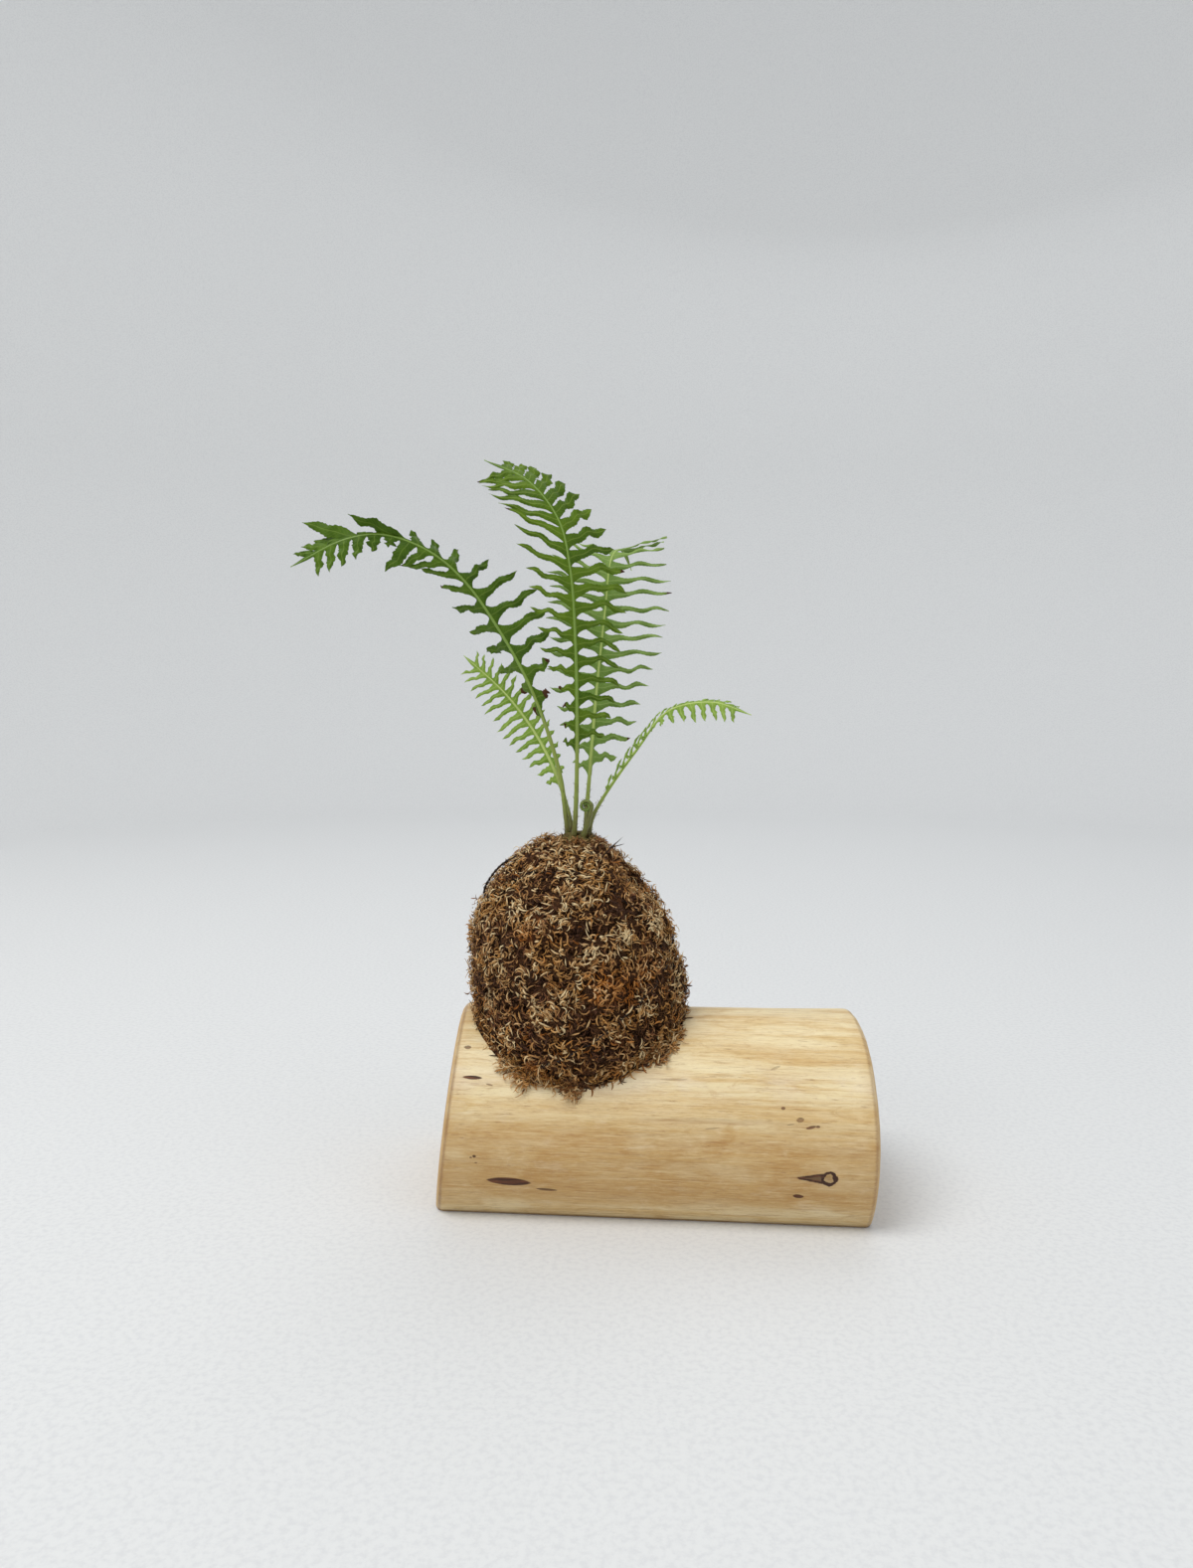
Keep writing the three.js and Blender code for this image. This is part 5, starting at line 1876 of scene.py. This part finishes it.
def fern_fronds() -> list[Frond]:
    """The five fronds, each with its own path and lobes."""
    left, right = Side.LEFT, Side.RIGHT
    deep, arch, back, young = (
        FrondLeaf(name, *(paint(*colour) for colour in colours))
        for name, colours in (
            ("deep_green_frond", ((66, 98, 6), (102, 132, 24), (148, 168, 74), (132, 164, 18))),
            ("mid_green_frond", ((60, 92, 8), (92, 124, 26), (132, 156, 66), (124, 158, 24))),
            ("light_green_frond", ((98, 130, 50), (138, 166, 84), (172, 194, 116), (154, 190, 84))),
            ("pale_green_frond", ((114, 148, 46), (152, 182, 78), (188, 208, 122), (170, 204, 80))),
        )
    )
    return [
        Frond(
            "frond_tall", Slot.DEEP_GREEN, deep, DEEP_STALK, seed=11,
            path=[[-34.6, -8, 155], [-33.2, -10, 170], [-32, -14, 202], [-32, -20, 245], [-34, -22, 277],
                  [-39, -20, 298], [-53, -14, 316], [-74, -4, 327]],
            facing=[[0.1, -1, 0.1], [0.2, -1, 0.1], [0.4, -0.85, 0.3], [0.45, -0.8, 0.4], [0.3, -0.75, 0.6]],
            stem_length=44, pairs=19, crowding=0.15, steps=5,
            length=[[5, 9, 16, 21, 28, 21, 8], [8, 17, 22, 28, 20, 12, 5]],
            breadth=[[0.28, 0.27, 0.27, 0.34, 0.46, 0.56, 0.62], [0.3, 0.29, 0.29, 0.42, 0.72, 0.92, 0.9]],
            angle=[[82, 80, 76, 62, 44, 33, 26], [82, 82, 80, 78, 68, 60, 48]],
            sweep=[[0, 0, 0, 0], [20, 55, 6, 0]], lift=[[0, -15, -25], [0, -10, -15]],
            odd=(OddLobe(1, left, 0.55), OddLobe(2, left, 0.5), OddLobe(3, left, 0.6)),
            blunt_right=0.8, overlap=0.75,
        ),
        Frond(
            "frond_arching", Slot.DEEP_GREEN, arch, DEEP_STALK, seed=23,
            path=[[-36.5, -5, 155], [-38, -4.5, 168], [-41, -4, 189], [-53, -3, 225], [-69, -2, 254],
                  [-84, -4, 275], [-99, -8, 287.5], [-118, -13, 294], [-134, -17, 291.5],
                  [-156.5, -22, 279.5]],
            facing=[[-0.6, -0.8, 0.1], [-0.5, -0.8, 0.2], [-0.3, -0.7, 0.65], [-0.1, -0.82, 0.55],
                    [0.05, -0.95, 0.25]],
            stem_length=58, pairs=17, crowding=0.4, steps=5,
            length=[[8, 12, 17, 18, 18, 18, 18, 14, 11, 7, 12, 10, 6],
                    [9, 14.5, 20, 22.5, 25, 21.5, 18, 13, 9, 6, 12, 9, 6]],
            breadth=[[0.34, 0.34, 0.34, 0.35, 0.35, 0.36, 0.36, 0.45, 0.6, 0.7, 0.7, 0.66, 0.6],
                     [0.34, 0.34, 0.35, 0.36, 0.36, 0.36, 0.36, 0.5, 0.7, 0.9, 1.1, 0.7, 0.6]],
            angle=[[80, 80, 80, 76, 72, 52, 38, 60, 80, 78, 64, 60, 52],
                   [82, 85, 88, 92, 96, 90, 84, 66, 50, 40, 32, 29, 28]],
            sweep=[[0, 0, -30, 0, 0], [0, 0, 0, 0, 0]],
            lift=[[-35, -30, -26, -26, -26, -26, -26, -26, -25, -22, -12, -8, -5],
                  [5, 4, 3, -4, -10, -26, -42, -36, -10, 0, 6, 0, 0]],
            odd=(
                OddLobe(0, right, 0.3), OddLobe(0, left, 0.3), OddLobe(1, left, 0.45),
                OddLobe(1, right, 0.75), OddLobe(6, left, 0.85),
                OddLobe(10, left, longer=1.4, broader=1.3), OddLobe(11, left, longer=0.5),
                OddLobe(10, right, longer=2.7, broader=1.6, turned=-45, raised=16),
                OddLobe(11, right, longer=0.7, raised=-35), OddLobe(12, right, longer=0.8, raised=-35),
                OddLobe(13, right, longer=2.1, broader=1.2, turned=-2, raised=6),
                OddLobe(14, right, raised=-14),
            ),
            overlap=0.7, flare=8.5, wave=0.55, zigzag=0.14,
        ),
        Frond(
            "frond_back", Slot.LIGHT_GREEN, back, LIGHT_STALK, seed=31,
            path=[[-30.2, 1, 155], [-29.7, 3, 168], [-28.4, 9, 191], [-26, 17, 227], [-23, 24, 261],
                  [-20, 30, 288], [-16, 40, 292], [-12, 48, 283]],
            facing=[[0, -1, 0.1], [0, -1, 0.15], [-0.05, 0.4, 0.85]],
            stem_length=33, pairs=16, crowding=0.2, steps=5,
            length=[[6, 15, 22, 26, 28, 24, 9], [8, 18, 24, 28, 30, 26, 9]],
            breadth=[[0.3, 0.27, 0.27, 0.27], [0.36, 0.27, 0.27, 0.27]],
            angle=[[82, 82, 80, 74, 60], [82, 82, 82, 84, 80]],
            sweep=[[5], [8]], lift=[[8], [8]],
        ),
        Frond(
            "frond_left_young", Slot.PALE_GREEN, young, PALE_STALK, seed=47,
            path=[[-34.4, 0.5, 155], [-37.2, 3, 168], [-44, 9, 187], [-55, 17, 206], [-70, 24, 224],
                  [-91, 31, 242]],
            facing=[[-0.2, -0.95, 0.2], [-0.2, -0.95, 0.2], [-0.1, -0.9, 0.4]],
            stem_length=30, pairs=15, crowding=0.2, steps=4,
            length=[[4, 9, 13, 13, 12, 9, 4], [3, 6, 9, 10, 10, 8, 4]],
            breadth=[[0.42], [0.42]], angle=[[82, 82, 82, 68, 40], [82, 82, 82, 68, 40]],
            sweep=[[10], [0]], lift=[[6], [14]], browned=0.0, ruffle=0.3, zigzag=0.13, rows=26,
        ),
        Frond(
            "frond_right_young", Slot.PALE_GREEN, young, PALE_STALK, seed=59,
            path=[[-28.5, -3.5, 155], [-26.5, -4, 168], [-22, -5, 177], [-6, -11, 200], [8, -18, 217],
                  [27, -25, 221], [43, -31, 216]],
            facing=[[-0.75, -0.1, 0.65], [-0.5, -0.3, 0.8], [0.2, -0.6, 0.75]],
            stem_length=24, pairs=15, crowding=0.2, steps=4,
            length=[[8, 13, 12, 8, 8, 7, 3], [2.5, 3.5, 5.5, 8, 9, 8, 3]],
            breadth=[[0.3, 0.3, 0.44, 0.5], [0.3, 0.3, 0.44, 0.5]],
            angle=[[36, 34, 60, 68, 40], [82, 82, 82, 68, 40]],
            sweep=[[-52, -50, -10, 0, 0], [0, 0, 0, 0, 0]], lift=[[25, 20, -25, -25], [35, 30, -35, -35]],
            curl=[[-20, -20, 0, 0], [30, 30, 0, 0]], browned=0.0, ruffle=0.3, zigzag=0.13, rows=26,
        ),
    ]


@dataclass
class Crozier:
    """The young frond that is still rolled up, with its dark hairs."""

    bristle: Material
    path: tuple[Point, ...] = (
        (-30.3, -7.5, 155), (-29.9, -8.5, 161), (-28.2, -9.3, 166), (-26.9, -9.9, 170.7), (-26.3, -10.2, 174),
    )
    coil_centre: Point = (-28.5, -10.2, 174.8)
    coil_turns: float = 1.7
    coil_steps: int = 90
    inner_radius: float = 0.4
    stalk_radius: float = 1.3
    sides: int = 12
    hairs: int = 170
    hair_radius: float = 0.09
    seed: int = 77

    def build(self) -> None:
        """Makes the coil and its hairs and puts them in place of the CAD node."""
        stalk = catmull_rom(np.array(self.path, float), 24)
        coil_centre = np.array(self.coil_centre)
        start = stalk[-1] - coil_centre
        share = np.linspace(0, 1, self.coil_steps)[1:]
        angle = math.atan2(start[2], start[0]) + 2 * math.pi * self.coil_turns * share
        reach = lerp(float(np.linalg.norm(start)), self.inner_radius, share**1.7)
        coil = np.stack([np.cos(angle), np.zeros_like(angle), np.sin(angle)], -1) * reach[:, None]
        centres = np.concatenate([stalk, coil_centre + coil])
        uneven = self.stalk_radius * (1 + 0.07 * np.sin(np.arange(len(centres)) * 1.1))
        in_coil = np.concatenate([np.linspace(-0.4, 0.0, len(stalk)), share])
        deep = np.interp(in_coil, [-0.4, 0, 0.3, 1], [1.0, 1.0, 1.35, 0.7]) * uneven
        flat = np.interp(in_coil, [-0.4, 0, 0.12, 1], [1.0, 0.95, 0.66, 0.3]) * uneven
        tangent = unit(np.gradient(centres, axis=0))
        side = unit(np.cross(tangent, [0.0, -1.0, 0.0]))
        up = np.cross(side, tangent)
        turns = np.linspace(0, 2 * np.pi, self.sides, endpoint=False)
        profile = np.stack([np.cos(turns) * flat[:, None], np.sin(turns) * deep[:, None]], -1)
        form, hairs = Form(), Form()
        form.add_tube(centres, side, up, profile, run=np.linspace(4, 34, len(centres)))
        finish = Stipe("crozier_skin", paint(104, 104, 50), paint(112, 138, 58), paint(140, 166, 84), 30.0)
        place_piece(form.build("crozier_coil", finish.build(), 60.0), Slot.DEEP_GREEN, "crozier")
        rng = np.random.default_rng(self.seed)
        total = self.hairs
        pick = rng.integers(6, len(centres) - 2, total)
        turn = rng.uniform(0, 2 * np.pi, total)[:, None]
        aside, over = np.cos(turn) * side[pick], np.sin(turn) * up[pick]
        roots = centres[pick] + (aside * flat[pick, None] + over * deep[pick, None]) * 0.9
        lean = unit((aside + over) * 0.8 + tangent[pick] * rng.uniform(-0.4, 1.0, (total, 1)))
        length, radius = rng.uniform(0.5, 1.3, total), np.full(total, self.hair_radius)
        hairs.add_hairs(roots, lean, length, tangent[pick], radius, 0.8, rng.random(total))
        place_piece(hairs.build("crozier_hairs", self.bristle, NO_SHARP_EDGE), Slot.RHIZOME, "crozier")


@dataclass
class StalkScales:
    """The dark hair scales at the feet of the stalks and on the crown between them."""

    bristle: Material
    fronds: list[Frond]
    on_each: int = 50
    start: float = 7.0
    reach: float = 30.0
    on_crown: int = 70
    crown_reach: float = 7.0
    crown_height: float = 160.0
    flatness: float = 0.6
    twigs: tuple[tuple[Point, ...], ...] = (
        ((-22.0, -18.0, 151.5), (-19.1, -21.5, 155.4), (-16.5, -22.0, 158.1), (-11.0, -22.0, 163.0)),
        ((-18.5, -21.5, 156.1), (-15.5, -22.0, 158.4), (-12.6, -22.2, 159.3), (-10.3, -22.4, 159.9)),
    )
    seed: int = 91

    def build(self) -> None:
        """Makes the scales."""
        rng = np.random.default_rng(self.seed)
        form = Form()
        for frond in self.fronds:
            distance = self.start + (self.reach - self.start) * rng.random(self.on_each) ** 1.8
            frames = frond.frames(distance)
            turn = rng.uniform(0, 2 * np.pi, self.on_each)[:, None]
            out = np.cos(turn) * frames["right"] + np.sin(turn) * frames["normal"]
            stem = lerp(frond.stem_radius, frond.blade_radius, distance / frond.stem_length)
            roots = frames["centre"] + out * stem[:, None] * 0.92
            lean = unit(out * rng.uniform(0.3, 1.0, (self.on_each, 1)) + frames["forward"] * 0.6)
            length, radius = rng.uniform(0.6, 2.0, self.on_each), rng.uniform(0.07, 0.16, self.on_each)
            tone = rng.random(self.on_each)
            form.add_hairs(roots, lean, length, frames["forward"], radius, self.flatness, tone)
        total = self.on_crown
        turn, reach = rng.uniform(0, 2 * np.pi, total), self.crown_reach * np.sqrt(rng.random(total))
        x, y = CROWN_AXIS[0] + reach * np.cos(turn), CROWN_AXIS[1] + reach * np.sin(turn)
        roots = np.stack([x, y, self.crown_height - CROWN_SLOPE * reach**2], -1)
        lean = np.stack([np.cos(turn) * 0.5, np.sin(turn) * 0.5, np.ones(total)], -1)
        lean = unit(lean + rng.normal(0, 0.35, (total, 3)))
        length, radius = rng.uniform(1.5, 5.0, total), np.full(total, 0.16)
        form.add_hairs(roots, lean, length, lean[:, [1, 2, 0]], radius, self.flatness, rng.random(total))
        twigs = np.array([catmull_rom(np.array(twig, float), 4) for twig in self.twigs])
        up, none = np.array([[0.0, -1.0, 0.2]] * len(twigs)), np.zeros((1, 1))
        form.add_strands(twigs, up, np.array([0.5, 0.3]), 0.8, tone=none, along=none)
        place_piece(form.build("stalk_scales", self.bristle, NO_SHARP_EDGE), Slot.RHIZOME)


# The studio.


@dataclass
class Studio:
    """The pale floor with its round backdrop, the soft lights and the camera."""

    floor_radius: float = 1.5
    wall_radius: float = 2.2
    wall_height: float = 2.4
    camera_place: Point = (0.0230, -0.5346, 0.2313)
    camera_right: Point = (0.996, 0.0889, 0.0)
    camera_forward: Point = (-0.0885, 0.9922, -0.0882)
    lens: float = 27.44
    sensor: float = 36.0

    def build(self) -> None:
        """Makes the camera, the backdrop and the lights."""
        self._add_camera()
        self._add_backdrop()
        self._add_light("key_light", (-0.75, -0.7, 2.1), 1.3, 29.0, (1.0, 0.985, 0.96))
        self._add_light("fill_light", (1.5, -0.9, 1.1), 1.4, 3.0, (0.95, 0.975, 1.0))
        self._add_light("back_light", (0.3, 1.5, 1.8), 1.4, 6.0, (0.97, 0.985, 1.0))
        world = bpy.data.worlds.new("studio")
        world.use_nodes = True
        sky = world.node_tree.nodes["Background"]
        sky.inputs["Color"].default_value = (0.93, 0.96, 1.0, 1.0)
        sky.inputs["Strength"].default_value = 0.58
        bpy.context.scene.world = world
        bpy.context.scene.view_settings.view_transform = "Standard"

    def _add_camera(self) -> None:
        """Puts the camera where the photograph was taken from."""
        camera = bpy.data.objects.new("camera", bpy.data.cameras.new("camera"))
        camera.data.lens, camera.data.sensor_width = self.lens, self.sensor
        camera.data.clip_start = 0.01
        forward = Vector(self.camera_forward).normalized()
        right = Vector(self.camera_right).normalized()
        up = right.cross(forward)
        turned = Matrix((right, up, -forward)).transposed().to_4x4()
        camera.matrix_world = Matrix.Translation(self.camera_place) @ turned
        bpy.context.scene.collection.objects.link(camera)
        bpy.context.scene.camera = camera

    def _add_backdrop(self) -> None:
        """Makes the floor, which curves up into a wall all round."""
        bend = self.wall_radius - self.floor_radius
        turn = np.linspace(0, np.pi / 2, 24)
        reach = np.concatenate([[0.05, 0.5], self.floor_radius + bend * np.sin(turn), [self.wall_radius]])
        height = np.concatenate([[0, 0], bend * (1 - np.cos(turn)), [self.wall_height]])
        around = np.linspace(0, 2 * np.pi, 96, endpoint=False)
        flat = reach[:, None, None] * np.stack([np.cos(around), np.sin(around)], -1)
        upright = np.broadcast_to(height[:, None, None], (len(height), len(around), 1))
        points = np.concatenate([flat, upright], -1).reshape(-1, 3) / MM
        form = Form()
        skin, middle, _ = turned_over(tube_faces(len(height), len(around)))
        form.add(np.concatenate([points, np.zeros((1, 3))]), [skin, middle])
        form.build("floor", PaleFloor().build(), 60.0)

    @staticmethod
    def _add_light(name: str, place: Point, size: float, power: float, tint: Point) -> None:
        """Adds a large soft lamp that faces the object.

        Args:
            name: Its name.
            place: Where it hangs, in metres.
            size: How broad it is, in metres.
            power: Its power in watts.
            tint: Its colour.
        """
        lamp = bpy.data.lights.new(name, "AREA")
        lamp.shape, lamp.size, lamp.energy, lamp.color = "DISK", size, power, tint
        made = bpy.data.objects.new(name, lamp)
        towards = Vector((-0.02, 0.0, 0.12)) - Vector(place)
        made.location = place
        made.rotation_euler = towards.to_track_quat("-Z", "Y").to_euler()
        bpy.context.scene.collection.objects.link(made)


def main() -> None:
    """Builds the object's parts in order, then the studio round them."""
    logging.basicConfig(level=logging.INFO, format="%(message)s")
    Studio().build()
    ball = Ball()
    stand = LogStand(ball)
    stand.build()
    moss = MossBall(ball, stand)
    moss.build()
    keep_node("soil_core", Crumble("soil", paint(38, 27, 20), paint(74, 54, 38), 0.35).build())
    keep_node("crown", Crumble("rhizome", paint(78, 66, 38), paint(126, 116, 66), 0.5).build())
    BindingThread(ball, stand, moss).build()
    fronds = fern_fronds()
    for frond in fronds:
        frond.build()
    bristle = Bristle().build()
    Crozier(bristle).build()
    StalkScales(bristle, fronds).build()


if __name__ == "__main__":
    main()
